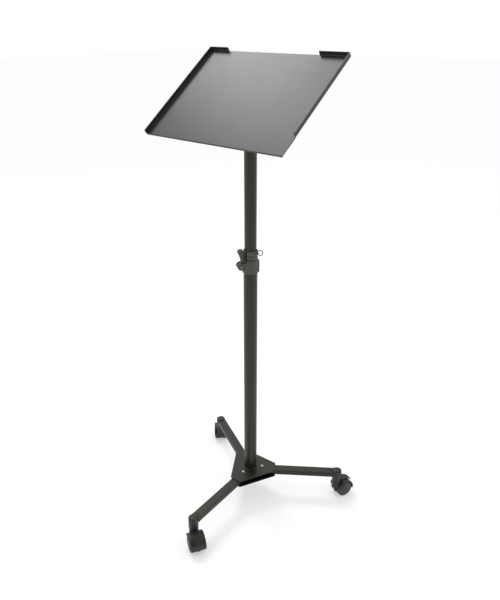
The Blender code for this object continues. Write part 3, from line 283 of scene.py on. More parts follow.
def turned(spots, steps=48, closed=False, sweep=2 * pi, rounds=3):
    # (radius, height) spots turned round z; an open line starts and ends on the axis
    bm = outline(spots, closed, rounds)
    bmesh.ops.delete(bm, geom=bm.faces[:], context="FACES_ONLY")
    bmesh.ops.rotate(bm, verts=bm.verts, cent=(0, 0, 0), matrix=Matrix.Rotation(pi / 2, 3, "X"))
    whole = abs(sweep - 2 * pi) < 1e-6
    bmesh.ops.spin(
        bm, geom=bm.verts[:] + bm.edges[:], cent=(0, 0, 0), axis=(0, 0, 1), angle=sweep, steps=steps,
        use_merge=whole, use_duplicate=False,
    )
    bmesh.ops.remove_doubles(bm, verts=bm.verts, dist=1e-6)
    if not whole:
        bmesh.ops.holes_fill(bm, edges=bm.edges, sides=0)
    bmesh.ops.recalc_face_normals(bm, faces=bm.faces)
    return bm


def raised(bm, thickness):
    # a flat shape made thick to both sides of z = 0
    made = bmesh.ops.extrude_face_region(bm, geom=bm.faces[:])["geom"]
    top = [item for item in made if isinstance(item, bmesh.types.BMVert)]
    bmesh.ops.translate(bm, verts=top, vec=(0, 0, thickness))
    bmesh.ops.translate(bm, verts=bm.verts, vec=(0, 0, -thickness / 2))
    bmesh.ops.recalc_face_normals(bm, faces=bm.faces)
    return bm


def soften(bm, size, segments=2, angle=radians(32)):
    # rounds the edges that turn by more than the angle
    edges = [edge for edge in bm.edges if len(edge.link_faces) == 2 and edge.calc_face_angle(0) > angle]
    bmesh.ops.bevel(
        bm, geom=edges, offset=size, segments=segments, profile=0.5, affect="EDGES", material=-1,
        clamp_overlap=True,
    )
    return bm


def rod(radius, low, high, edge=0.0003, steps=24):
    return turned([(0, low), (radius, low, edge), (radius, high, edge), (0, high)], steps, rounds=2)


def block(low, high, edge=0.0, segments=2):
    bm = bmesh.new()
    low, high = Vector(low), Vector(high)
    bmesh.ops.create_cube(bm, size=1.0)
    bmesh.ops.scale(bm, verts=bm.verts, vec=high - low)
    bmesh.ops.translate(bm, verts=bm.verts, vec=(low + high) / 2)
    return soften(bm, edge, segments) if edge else bm


def hexagon(acrossFlats):
    bm = bmesh.new()
    bmesh.ops.create_circle(bm, cap_ends=True, segments=6, radius=acrossFlats / 3**0.5)
    return bm


def join(whole, part, place=None):
    # moves the part and adds it to the whole
    part.transform(place or Matrix())
    carrier = bpy.data.meshes.new("carrier")
    part.to_mesh(carrier)
    part.free()
    whole.from_mesh(carrier)
    bpy.data.meshes.remove(carrier)
    return whole


def carved(bm, *cutters):
    # takes the cutters' volume away, one after another
    for cutter in cutters:
        pair = []
        for shape, name in ((bm, "carvedPiece"), (cutter, "cutter")):
            mesh = bpy.data.meshes.new(name)
            shape.to_mesh(mesh)
            shape.free()
            pair.append(bpy.data.objects.new(name, mesh))
            collection.objects.link(pair[-1])
        cut = pair[0].modifiers.new("cut", "BOOLEAN")
        cut.operation = "DIFFERENCE"
        cut.solver = "EXACT"
        cut.object = pair[1]
        graph = bpy.context.evaluated_depsgraph_get()
        mesh = bpy.data.meshes.new_from_object(pair[0].evaluated_get(graph))
        bm = bmesh.new()
        bm.from_mesh(mesh)
        bpy.data.meshes.remove(mesh)
        for helper in pair:
            shell = helper.data
            bpy.data.objects.remove(helper, do_unlink=True)
            bpy.data.meshes.remove(shell)
    return bm


def piece(bm, name, body, slot, nodes, place=None, smooth=35, even=True, finish=None):
    bmesh.ops.remove_doubles(bm, verts=bm.verts, dist=1e-6)
    bmesh.ops.recalc_face_normals(bm, faces=bm.faces)
    bm.transform(place or Matrix())
    mesh = bpy.data.meshes.new(name)
    bm.to_mesh(mesh)
    bm.free()
    mesh.materials.append(finish or slotMaterials[slot])
    mesh.shade_smooth()
    mesh.set_sharp_from_angle(angle=radians(smooth))
    made = bpy.data.objects.new(name, mesh)
    collection.objects.link(made)
    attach(made, body)
    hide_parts(*nodes)
    if even:
        steady = made.modifiers.new("even shading", "WEIGHTED_NORMAL")
        steady.keep_sharp = True
    return made


def keep(node, slot):
    # a node whose own shape is right, in a better finish
    kept = frame["nodes"][node]
    kept.data.materials.clear()
    kept.data.materials.append(slotMaterials[slot])


def onColumn(azimuth=0, out=0, up=0):
    # x away from the column's axis at this azimuth, z up
    turn = Matrix.Rotation(azimuth, 4, "Z")
    return Matrix.Translation(columnSpot) @ turn @ Matrix.Translation((out, 0, up))


def azimuthOf(spot):
    away = Vector(spot) - columnSpot
    return atan2(away.y, away.x)


zToX = Matrix.Rotation(pi / 2, 4, "Y")  # a piece's z comes to lie along x
sideOn = Matrix.Rotation(pi / 2, 4, "X")  # a flat outline stands up: its y becomes z


tubeSizes = {
    "lowerWall": 0.0012,
    "upperWall": 0.0015,
    "edge": 0.0004,
    "steps": 96,
}


def makeTube(name, node, body, wall):
    low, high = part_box(node)
    outer = (high.x - low.x) / 2
    edge = tubeSizes["edge"]
    spots = [
        (outer, low.z, edge), (outer, high.z, edge),
        (outer - wall, high.z, edge), (outer - wall, low.z, edge),
    ]
    piece(turned(spots, tubeSizes["steps"], True), name, body, "black_coat", [node], onColumn())
    return outer


lowerRadius = makeTube("columnLower", "lower_tube", "base", tubeSizes["lowerWall"])
upperRadius = makeTube("columnUpper", "upper_tube", "mast", tubeSizes["upperWall"])
keep("glide_bush", "acetal")
keep("mast_bush", "acetal")
keep("column_foot", "zinc")
print("column done")


collarSizes = {
    "sleeveWall": 0.0030,
    "ringWall": 0.0030,
    "tubeRoom": 0.0003,
    "slideRoom": 0.0004,
    "seat": 0.0146,  # where the bore narrows, above the bottom edge
    "step": 0.0339,  # where the outside narrows
    "stepFall": 0.0011,
    "grooves": (0.0372, 0.0446),
    "grooveDepth": 0.0010,
    "grooveHalf": 0.0011,
    "rounding": 0.0013,
    "slotWidth": 0.0040,
    "slotAzimuth": radians(-85),
    "slotInSleeve": 0.0060,
    "ribAzimuth": radians(30),
    "ribWidth": 0.0080,
    "ribDepth": 0.0015,
    "ribInset": 0.0018,
    "lugRadius": 0.0090,
    "lugThickness": 0.0030,
    "lugEmbed": 0.0085,
    "camRoom": 0.0075,
    "leverWidth": 0.0134,
}


def leverPlace():
    # x away from the column, y up, z along the lever's pin
    spot = Vector(joints["clamp_lever_flip"]["pos_m"])
    return Matrix.Translation(spot) @ Matrix.Rotation(azimuthOf(spot.xy.to_3d()), 4, "Z") @ sideOn


def makeCollar():
    size = collarSizes
    low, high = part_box("clamp_collar")
    height = high.z - low.z
    sleeve = lowerRadius + size["sleeveWall"]
    ring = upperRadius + size["ringWall"]
    wideBore = lowerRadius + size["tubeRoom"]
    bore = upperRadius + size["slideRoom"]
    rounding = size["rounding"]
    spots = [
        (wideBore, 0, 0.0004),
        (sleeve, 0, rounding),
        (sleeve, size["step"] - size["stepFall"], 0.0008),
        (ring, size["step"] + size["stepFall"], 0.0006),
    ]
    for middle in size["grooves"]:
        half, deep = size["grooveHalf"], ring - size["grooveDepth"]
        spots += [
            (ring, middle - half, 0.0003), (deep, middle - half / 2, 0.0003),
            (deep, middle + half / 2, 0.0003), (ring, middle + half, 0.0003),
        ]
    spots += [
        (ring, height - 0.0022, 0.0003),
        (ring - 0.0004, height - 0.0018),
        (ring - 0.0004, height, rounding),
        (bore, height, 0.0011),
        (bore, size["seat"]),
        (wideBore, size["seat"]),
    ]
    bm = turned(spots, 96, True)
    bottom = onColumn(up=low.z)
    bm.transform(bottom)

    slotLow = size["step"] - size["slotInSleeve"]
    slot = block(
        (upperRadius - 0.001, -size["slotWidth"] / 2, slotLow),
        (sleeve + 0.004, size["slotWidth"] / 2, height + 0.004),
    )
    slot.transform(onColumn(size["slotAzimuth"], 0, low.z))
    halfRoom = size["leverWidth"] / 2 + size["slideRoom"]
    place = leverPlace()
    pocket = rod(size["camRoom"], -halfRoom, halfRoom, 0, 40)
    pocket.transform(place)
    pivotUp = joints["clamp_lever_flip"]["pos_m"][2] - low.z
    recess = block(
        (-leverSizes["camRadius"] + 0.00025, 0, -halfRoom),
        (0.012, size["step"] - pivotUp + 0.0022, halfRoom),
    )
    recess.transform(place)
    bm = carved(bm, slot, pocket, recess)
    soften(bm, 0.00025, 1, radians(50))

    ribLow = (wideBore + 0.001, -size["ribWidth"] / 2, size["ribInset"])
    ribHigh = (sleeve + size["ribDepth"], size["ribWidth"] / 2, size["step"] - size["ribInset"] - 0.001)
    join(bm, block(ribLow, ribHigh, 0.0007, 3), onColumn(size["ribAzimuth"], 0, low.z))

    reach = size["lugRadius"]
    for side in (-1, 1):
        lug = outline([
            (-size["lugEmbed"], -reach), (reach, -reach, reach * 0.98),
            (reach, reach, reach * 0.98), (-size["lugEmbed"], reach),
        ], rounds=12)
        raised(lug, size["lugThickness"])
        soften(lug, 0.0006, 2)
        join(bm, lug, place @ Matrix.Translation((0, 0, side * (halfRoom + size["lugThickness"] / 2))))

    pinUp = pinHeight() - low.z
    boss = turned([
        (lockSizes["radius"] + 0.0002, ring - 0.002), (lockSizes["boss"], ring - 0.002),
        (lockSizes["boss"], ring + lockSizes["bossRise"], 0.0004),
        (lockSizes["radius"] + 0.0002, ring + lockSizes["bossRise"], 0.0002),
    ], 32, True)
    join(bm, boss, onColumn(pinAzimuth(), 0, low.z + pinUp) @ zToX)
    piece(bm, "clampCollar", "base", "moulded_plastic", ["clamp_collar"], finish=clampMoulding)


leverSizes = {
    "camRadius": 0.0070,
    "softEdge": 0.0016,
    "pinRadius": 0.0020,
    "pinHead": 0.0032,
    "headHeight": 0.0010,
}


def makeLever():
    size = leverSizes
    cam = size["camRadius"]
    spots = [
        (-0.0066, -0.0006, 0.0020), (-0.0066, 0.0416, 0.0028), (0.0040, 0.0424, 0.0034),
        (0.0080, 0.0368, 0.0024), (0.0044, 0.0300, 0.0040), (0.0018, 0.0230, 0.0030),
        (-0.0004, 0.0150, 0.0030), (-0.0012, 0.0060, 0.0010),
    ]
    arm = raised(outline(spots, rounds=5), collarSizes["leverWidth"])
    soften(arm, size["softEdge"], 4, radians(60))
    halfWide = collarSizes["leverWidth"] / 2
    drum = rod(cam, -halfWide, halfWide, 0.0012, 40)
    bm, drum = [carved(part, rod(size["pinRadius"] + 0.0004, -0.01, 0.01, 0, 24)) for part in (arm, drum)]
    join(bm, drum)
    place = leverPlace()
    piece(bm, "clampLever", "clamp_lever", "moulded_plastic", ["clamp_lever"], place, finish=clampMoulding)

    reach = halfWide + collarSizes["slideRoom"] + collarSizes["lugThickness"] + gap
    head, tip = size["pinHead"], reach + size["headHeight"]
    end = [(head, reach, 0.0002), (head, tip, 0.0005), (0.0014, tip, 0.0001), (0, tip - 0.0004)]
    spots = [(x, -y, *rounding) for x, y, *rounding in end[::-1]]
    spots += [(size["pinRadius"], -reach), (size["pinRadius"], reach), *end]
    piece(turned(spots, 28, rounds=2), "leverPin", "base", "zinc", ["lever_pin"], place, finish=darkChrome)
    keep("clamp_pad", "acetal")


lockSizes = {
    "boss": 0.0045,
    "bossRise": 0.0006,
    "radius": 0.0020,
    "head": 0.0030,
    "headLength": 0.0010,
    "eyeRadius": 0.0027,
    "eyeThickness": 0.0014,
    "ringRadius": 0.0065,
    "wire": 0.0012,
    "lean": radians(46),
}


def pinAzimuth():
    axis = joints["lock_pin_pull"]["axis"]
    return atan2(axis[1], axis[0])


def pinHeight():
    low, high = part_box("lock_pin")
    return (low.z + high.z) / 2


def makeLockPin():
    size = lockSizes
    ring = upperRadius + collarSizes["ringWall"]
    nose = upperRadius + collarSizes["slideRoom"] + gap
    seat = ring + size["bossRise"] + gap
    eye = seat + size["headLength"] + size["eyeRadius"] - 0.0003
    place = onColumn(pinAzimuth(), 0, pinHeight()) @ zToX
    bm = turned([
        (0, nose), (size["radius"], nose, 0.0004), (size["radius"], seat),
        (size["head"], seat, 0.0002), (size["head"], seat + size["headLength"], 0.0004),
        (size["radius"] / 2, seat + size["headLength"]), (size["radius"] / 2, eye), (0, eye),
    ], 28, rounds=2)
    lie = Matrix.Translation((0, 0, eye)) @ Matrix.Rotation(pi / 2 - size["lean"], 4, "Y")
    half, hole = size["eyeThickness"] / 2, size["wire"] + 0.0004
    tab = turned([
        (hole, -half, 0.0002), (size["eyeRadius"], -half, 0.0003),
        (size["eyeRadius"], half, 0.0003), (hole, half, 0.0002),
    ], 28, True, rounds=2)
    join(bm, tab, lie)
    piece(bm, "lockPin", "lock_pin", "zinc", ["lock_pin"], place)

    wire = bmesh.new()
    bmesh.ops.create_circle(wire, segments=12, radius=size["wire"])
    bmesh.ops.translate(wire, verts=wire.verts, vec=(size["ringRadius"], 0, 0))
    bmesh.ops.rotate(
        wire, verts=wire.verts, cent=(size["ringRadius"], 0, 0), matrix=Matrix.Rotation(pi / 2, 3, "X")
    )
    bmesh.ops.spin(
        wire, geom=wire.verts[:] + wire.edges[:], cent=(0, 0, 0), axis=(0, 0, 1), angle=2 * pi, steps=56,
        use_merge=True, use_duplicate=False,
    )
    centre = Vector((-sin(size["lean"]), 0, cos(size["lean"]))) * size["ringRadius"] + Vector((0, 0, eye))
    place = place @ Matrix.Translation(centre) @ sideOn
    piece(wire, "pullRing", "lock_pin", "zinc", ["lock_ring"], place, 60, False, darkChrome)


makeCollar()
makeLever()
makeLockPin()
print("clamp done")


hubSizes = {
    "nose": 0.0719,
    "noseWidth": 0.0326,
    "corner": 0.0020,
    "edge": 0.0004,
    "screwSpot": 0.0335,
    "screwHead": 0.0046,
    "screwShank": 0.0025,
    "socketAcross": 0.0030,
    "socketDepth": 0.0016,
    "nutRadius": 0.0050,
    "nutHeight": 0.0032,
    "footRing": 0.0021,  # a fillet of paint and weld at the tube's foot
    "boltAcross": 0.0170,
    "boltHead": 0.0064,
    "boltRadius": 0.0050,
}
legAzimuths = [azimuthOf(joints[f"caster_{number}_swivel"]["pos_m"]) for number in (1, 2, 3)]


def hubOutline():
    spots = []
    for azimuth in sorted(legAzimuths):
        for side in (-1, 1):
            corner = Vector((hubSizes["nose"], side * hubSizes["noseWidth"] / 2, 0))
            corner = Matrix.Rotation(azimuth, 3, "Z") @ corner
            spots.append((corner.x, corner.y, hubSizes["corner"]))
    return outline(spots)


def capScrew(head, shank, low, seat, top):
    # a domed head with a hexagonal socket
    across, deep = hubSizes["socketAcross"], hubSizes["socketDepth"]
    bm = turned([
        (0, low), (shank, low, 0.0003), (shank, seat), (head, seat, 0.0002),
        (head, (seat + top) / 2, 0.0007), (head * 0.72, top, 0.0006), (0, top),
    ], 32)
    cutter = raised(hexagon(across), 2 * deep)
    cutter.transform(Matrix.Translation((0, 0, top)))
    return soften(carved(bm, cutter), 0.00015, 1, radians(70))


def makeHub():
    size = hubSizes
    under, top = [corner.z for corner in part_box("hub_top_plate")]
    thick = top - under
    for name, node in (("hubTopPlate", "hub_top_plate"), ("hubBottomPlate", "hub_bottom_plate")):
        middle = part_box(node)[1].z - thick / 2
        plate = soften(raised(hubOutline(), thick), size["edge"], 2, radians(60))
        bm = join(bmesh.new(), plate, Matrix.Translation((0, 0, middle)))
        if node == "hub_bottom_plate":
            for azimuth in legAzimuths:
                clinchNut = rod(size["nutRadius"], middle - thick / 2 - size["nutHeight"], middle, 0.0005, 28)
                spot = Matrix.Rotation(azimuth, 4, "Z") @ Matrix.Translation((size["screwSpot"], 0, 0))
                join(bm, clinchNut, spot)
        else:
            lip = size["footRing"]
            fillet = turned([
                (lowerRadius - 0.0005, top - 0.0004), (lowerRadius + lip, top - 0.0004),
                (lowerRadius + lip * 0.95, top + 0.0002, 0.0002),
                (lowerRadius + lip * 0.4, top + lip * 0.35, 0.0006),
                (lowerRadius + 0.0001, top + lip), (lowerRadius - 0.0005, top + lip),
            ], 72, True)
            join(bm, fillet)
        piece(bm, name, "base", "black_coat", [node], onColumn())
    for number, azimuth in enumerate(legAzimuths, 1):
        low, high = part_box(f"hub_screw_{number}")
        screw = capScrew(size["screwHead"], size["screwShank"], low.z, top + gap, high.z)
        place = onColumn(azimuth, size["screwSpot"])
        piece(screw, f"hubScrew{number}", "base", "zinc", [f"hub_screw_{number}"], place)
    keep("hub_spacer", "zinc")
    keep("column_washer", "zinc")
    low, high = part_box("column_bolt")
    bolt = soften(raised(hexagon(size["boltAcross"]), size["boltHead"]), 0.0007, 2, radians(50))
    half = size["boltHead"] / 2
    join(bolt, rod(size["boltRadius"], 0.0030, high.z - low.z - half, 0.0005, 24))
    piece(bolt, "columnBolt", "base", "zinc", ["column_bolt"], onColumn(up=low.z + half))


makeHub()
print("hub done")


legSizes = {
    "width": 0.0250,
    "height": 0.0150,
    "wall": 0.0015,
    "corner": 0.0022,
    "seamDepth": 0.00045,  # the rolled line along each side
    "seamHalf": 0.0007,
    "seamDrop": 0.0006,
    "innerEnd": 0.0145,
    "socketRadius": 0.0130,
    "socketDome": 0.0048,
    "bushBore": 0.0079,
    "bushDepth": 0.0290,
    "plugLength": 0.0246,
    "peg": 0.0022,
    "pegInset": 0.0045,
}


def legOutline(inset=0.0):
    size = legSizes
    x, y = size["width"] / 2 - inset, size["height"] / 2 - inset
    corner = size["corner"] - inset / 2
    if inset:
        return [(x, -y, corner), (x, y, corner), (-x, y, corner), (-x, -y, corner)]
    spots = []
    for side in (1, -1):
        seam = [
            (side * x, -size["seamHalf"] * side - size["seamDrop"], 0.0002),
            (side * (x - size["seamDepth"]), -size["seamDrop"], 0.0002),
            (side * x, size["seamHalf"] * side - size["seamDrop"], 0.0002),
        ]
        spots += [(side * x, -side * y, corner), *seam, (side * x, side * y, corner)]
    return spots


def makeLeg(number, azimuth):
    size = legSizes
    centre = Vector(joints[f"caster_{number}_swivel"]["pos_m"])
    reach = (centre - columnSpot).xy.length
    low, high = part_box(f"leg_tube_{number}")
    middle = (low.z + high.z) / 2
    outerEnd = reach - size["socketRadius"] - 0.0006
    length = outerEnd - size["innerEnd"]
    lay = Matrix.Rotation(pi / 2, 4, "Z") @ sideOn  # outline's x across the leg, its y up
    bm = raised(outline(legOutline(), rounds=4), length)
    soften(bm, 0.0003, 1, radians(70))
    bore = raised(outline(legOutline(size["wall"]), rounds=2), length + 0.002)
    hole = rod(size["peg"] + 0.0003, size["height"] / 2 - 0.004, size["height"] / 2 + 0.002, 0, 24)
    hole.transform(lay.inverted() @ Matrix.Translation((length / 2 - size["pegInset"], 0, 0)))
    bm = carved(bm, bore, hole)
    place = onColumn(azimuth, size["innerEnd"] + length / 2, middle)
    piece(bm, f"legTube{number}", "base", "black_coat", [f"leg_tube_{number}"], place @ lay)

    bottom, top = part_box(f"leg_socket_{number}")[0].z, high.z
    radius, bore = size["socketRadius"], size["bushBore"]
    roof = bottom + size["bushDepth"]
    parting = low.z - 0.0006  # the mould's parting line
    spots = [(0, top + size["socketDome"])]
    for step in range(1, 8):
        turn = pi / 2 * step / 8
        spots.append((radius * sin(turn) ** 0.8, top + size["socketDome"] * cos(turn)))
    spots += [
        (radius, top, 0.0008), (radius, parting + 0.0005), (radius - 0.0003, parting + 0.0001),
        (radius - 0.0003, parting - 0.0001), (radius, parting - 0.0005),
        (radius, bottom, 0.0012), (bore, bottom, 0.0004), (bore, roof), (0, roof),
    ]
    pot = turned(spots, 64)
    neck = block((-radius - 0.0003, -size["width"] / 2, low.z), (-bore, size["width"] / 2, top), 0.0009, 3)
    join(pot, neck)
    x, y = size["width"] / 2 - size["wall"] - gap, size["height"] / 2 - size["wall"] - gap
    plug = block((-radius - size["plugLength"], -x, middle - y), (-radius + 0.001, x, middle + y), 0.0008, 2)
    join(pot, plug)
    peg = rod(size["peg"], middle, top - size["wall"] * 0.45, 0.0006, 24)
    join(pot, peg, Matrix.Translation((outerEnd - size["pegInset"] - reach, 0, 0)))
    place = onColumn(azimuth, reach)
    piece(pot, f"legSocket{number}", "base", "moulded_plastic", [f"leg_socket_{number}"], place)
    keep(f"stem_bush_{number}", "acetal")


for legNumber, legAzimuth in enumerate(legAzimuths, 1):
    makeLeg(legNumber, legAzimuth)
print("legs done")


casterSizes = {
    "hoodRoom": 0.0034,
    "hoodWall": 0.0023,
    "hoodRounding": 0.0017,
    "rimRoom": 0.0004,  # the hood's side rims over the wheels' tread
    "rimWidth": 0.0016,
    "crown": 0.0005,
    "sideInset": 0.0004,
    "skirtRise": 0.0010,
    "skirtFall": radians(14),
    "skirtLow": 0.0130,
    "webRoom": 0.0004,
    "boss": 0.0110,
    "bossFlare": 0.0014,
    "stemBore": 0.0058,
    "stemDepth": 0.0135,
    "wheelSpacing": 0.0102,
    "wheelWidth": 0.0166,
    "bore": 0.0028,
    "hubCap": 0.0026,
    "pedalWidth": 0.0200,
    "pedalThickness": 0.0020,
    "pedalLift": 0.0030,
    "pedalEnd": radians(62),
    "pedalRibs": 6,
    "ribHeight": 0.0007,
}


def makeWheel(number, side, place, radius):
    size = casterSizes
    inner = size["wheelSpacing"] / 2
    outer = inner + size["wheelWidth"]
    tread = [(radius, outer - 0.0050, 0.0016)]
    for middle in (outer - 0.0074, outer - 0.0110):
        tread += [
            (radius, middle + 0.0004, 0.0001), (radius - 0.0004, middle + 0.0002),
            (radius - 0.0004, middle - 0.0002), (radius, middle - 0.0004, 0.0001),
        ]
    spots = [
        (0, outer - 0.0004), (0.0046, outer - 0.0004, 0.0003), (0.0052, outer - 0.0010, 0.0002),
        (0.0060, outer - 0.0010, 0.0002), (0.0068, outer - 0.0001, 0.0004),
        (0.0160, outer - 0.0004, 0.0006), (0.0166, outer - 0.0012, 0.0003), (0.0176, outer - 0.0012, 0.0003),
        (0.0183, outer - 0.0007, 0.0004), (radius - 0.0010, outer - 0.0026, 0.0014),
        *tread,
        (radius, inner, 0.0010), (radius - 0.0030, inner, 0.0004), (radius - 0.0050, inner + 0.0012, 0.0005),
        (0.0080, inner + 0.0012, 0.0005), (0.0064, inner, 0.0004), (size["bore"], inner, 0.0003),
        (size["bore"], outer - size["hubCap"]), (0, outer - size["hubCap"]),
    ]
    turn = Matrix.Rotation(-pi / 2 if side == "left" else pi / 2, 4, "X")
    name, node = f"casterWheel{side.title()}{number}", f"caster_wheel_{side}_{number}"
    piece(turned(spots, 72, rounds=2), name, f"wheel_{side}_{number}", "wheel_nylon", [node], place @ turn)


def makeHood(number, place, trail, wheelRadius, top):
    # place puts x along the trail and y along the axle, with the stem on z
    size = casterSizes
    radius = wheelRadius + size["hoodRoom"]
    half = size["wheelSpacing"] / 2 + size["wheelWidth"] - size["sideInset"]
    start = -size["skirtFall"] + asin(size["skirtRise"] / radius)
    sweep = pi - 2 * asin(size["skirtRise"] / radius)
    well = radius - size["hoodWall"]
    rim, rimWide = wheelRadius + size["rimRoom"], half - size["rimWidth"]
    arch = turned([
        (rim, -half, 0.0003), (radius - size["crown"], -half, size["hoodRounding"]),
        (radius, -half / 3, 0.0040), (radius, half / 3, 0.0040),
        (radius - size["crown"], half, size["hoodRounding"]), (rim, half, 0.0003),
        (rim, rimWide), (well, rimWide - 0.0004), (well, 0.0004 - rimWide), (rim, -rimWide),
    ], 60, True, sweep, rounds=5)
    soften(arch, 0.0005, 2, radians(60))
    onAxle = Matrix.Translation((trail, 0, wheelRadius))
    bm = join(bmesh.new(), arch, onAxle @ sideOn @ Matrix.Rotation(start, 4, "Z"))

    # the web between the wheels, cut level over the floor
    web = bmesh.new()
    bmesh.ops.create_circle(web, cap_ends=True, segments=60, radius=radius * 0.96)
    raised(web, size["wheelSpacing"] - 2 * size["webRoom"])
    web.transform(onAxle @ sideOn)
    cut = bmesh.ops.bisect_plane(
        web, geom=web.verts[:] + web.edges[:] + web.faces[:], plane_co=(0, 0, size["skirtLow"]),
        plane_no=(0, 0, -1), clear_outer=True,
    )["geom_cut"]
    bmesh.ops.contextual_create(web, geom=[item for item in cut if isinstance(item, bmesh.types.BMEdge)])
    bmesh.ops.recalc_face_normals(web, faces=web.faces)
    hole = rod(size["bore"], -0.02, 0.02, 0, 20)
    hole.transform(onAxle @ sideOn)
    join(bm, soften(carved(web, hole), 0.0005, 2, radians(60)))

    flare = size["bossFlare"]
    boss = turned([
        (0, wheelRadius + 0.012), (size["boss"] + flare, wheelRadius + 0.012),
        (size["boss"] + flare, top - 0.0056), (size["boss"], top - 0.0040, 0.0012),
        (size["boss"], top, 0.0008), (size["stemBore"], top, 0.0003),
        (size["stemBore"], top - size["stemDepth"]), (0, top - size["stemDepth"]),
    ], 48)
    join(bm, boss)
    piece(bm, f"casterHood{number}", f"caster_{number}", "moulded_plastic", [f"caster_hood_{number}"], place)
    return radius


def makePedal(number, place, trail, wheelRadius, hoodRadius):
    size = casterSizes
    hinge = place.inverted() @ Vector(joints[f"pedal_{number}_press"]["pos_m"])
    axle = Vector((trail, 0, wheelRadius))
    startAngle = asin((hinge.x - trail) / (hoodRadius + 0.0023))
    ends = []
    for angle, lift in ((startAngle, 0), (size["pedalEnd"], size["pedalLift"])):
        ends.append(axle + Vector((sin(angle), 0, cos(angle))) * (hoodRadius + 0.0006 + lift))
    # the plate bends round a centre that gives both ends their distance from the hood
    chord = ends[1] - ends[0]
    bend = hoodRadius + 0.0030
    drop = Vector((chord.z, 0, -chord.x)).normalized() * -((bend**2 - chord.length_squared / 4) ** 0.5)
    centre = (ends[0] + ends[1]) / 2 + (drop if drop.z < 0 else -drop)
    first, last = ends[0] - centre, ends[1] - centre
    sweep = first.angle(last)
    half = size["pedalWidth"] / 2
    bm = bmesh.new()
    out = first.normalized()
    outer = first + out * size["pedalThickness"]
    across = Vector((0, half, 0))
    verts = [bm.verts.new(spot) for spot in (first - across, outer - across, outer + across, first + across)]
    edges = [bm.edges.new(pair) for pair in zip(verts, verts[1:] + verts[:1])]
    bmesh.ops.spin(
        bm, geom=verts + edges, cent=(0, 0, 0), axis=(0, 1, 0), angle=sweep, steps=20, use_merge=False,
        use_duplicate=False,
    )
    bmesh.ops.holes_fill(bm, edges=bm.edges, sides=0)
    bmesh.ops.recalc_face_normals(bm, faces=bm.faces)
    soften(bm, 0.0006, 3, radians(50))
    ribs = size["pedalRibs"]
    for step in range(ribs):
        rib = rod(0.0009, -half + 0.0022, half - 0.0022, 0.0004, 12)
        rib.transform(sideOn)
        spot = Matrix.Rotation(sweep * (0.36 + 0.56 * step / (ribs - 1)), 4, "Y")
        ahead = Matrix.Translation(first + out * (size["pedalThickness"] - 0.0009 + size["ribHeight"]))
        join(bm, rib, spot @ ahead)
    bm.transform(Matrix.Translation(centre))
    barrel = rod(0.0020, -half, half, 0.0004, 24)
    join(bm, barrel, Matrix.Translation(hinge) @ sideOn)
    piece(bm, f"brakePedal{number}", f"pedal_{number}", "moulded_plastic", [f"caster_pedal_{number}"], place)


def makeCaster(number):
    stem = Vector(joints[f"caster_{number}_swivel"]["pos_m"])
    axle = Vector(joints[f"wheel_left_{number}_spin"]["pos_m"])
    away = axle - stem
    trail, wheelRadius = away.xy.length, axle.z
    place = Matrix.Translation((stem.x, stem.y, 0)) @ Matrix.Rotation(atan2(away.y, away.x), 4, "Z")
    hoodRadius = makeHood(number, place, trail, wheelRadius, stem.z)
    for side in ("left", "right"):
        makeWheel(number, side, place @ Matrix.Translation((trail, 0, wheelRadius)), wheelRadius)
    makePedal(number, place, trail, wheelRadius, hoodRadius)
    keep(f"caster_stem_{number}", "zinc")
    keep(f"caster_axle_{number}", "zinc")


for casterNumber in (1, 2, 3):
    makeCaster(casterNumber)
print("casters done")


headSizes = {
    "capHeight": 0.0040,
    "tongueWidth": 0.0240,
    "tongueThickness": 0.0140,
}
tiltJoint = joints["tray_tilt"]
trayTilt = -radians(tiltJoint["range_deg"][0])
pivotSpot = Vector(tiltJoint["pos_m"])
onPivot = Matrix.Translation(pivotSpot) @ Matrix.Rotation(trayTilt, 4, "X")  # z square to the tray
acrossPivot = onPivot @ zToX


def makeHead():
    size = headSizes
    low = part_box("head_fitting")[0]
    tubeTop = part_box("upper_tube")[1].z
    bore = upperRadius - tubeSizes["upperWall"] - gap
    seat = tubeTop + gap
    capTop = seat + size["capHeight"]
    bm = turned([
        (0, low.z), (bore, low.z, 0.0010), (bore, seat), (upperRadius, seat, 0.0003),
        (upperRadius, capTop, 0.0016), (0, capTop),
    ], 64)
    half = size["tongueWidth"] / 2
    down, nearlyHalf = pivotSpot.z - capTop + 0.001, half * 0.99
    spots = [(half, -down), (half, half, nearlyHalf), (-half, half, nearlyHalf), (-half, -down)]
    tongue = outline(spots, rounds=14)
    raised(tongue, size["tongueThickness"])
    soften(tongue, 0.0012, 3, radians(60))
    upright = Matrix.Translation(pivotSpot - columnSpot) @ Matrix.Rotation(pi / 2, 4, "Z") @ sideOn
    join(bm, tongue, upright)
    piece(bm, "headFitting", "mast", "moulded_plastic", ["head_fitting"], onColumn())
    keep("friction_washer_1", "acetal")
    keep("friction_washer_2", "acetal")


bracketSizes = {
    "width": 0.1200,
    "depth": 0.0700,
    "thickness": 0.0025,
    "corner": 0.0080,
    "cheekWidth": 0.0560,
    "cheekEnd": 0.0120,
    "cheekInner": 0.0088,
    "weld": 0.0014,
}


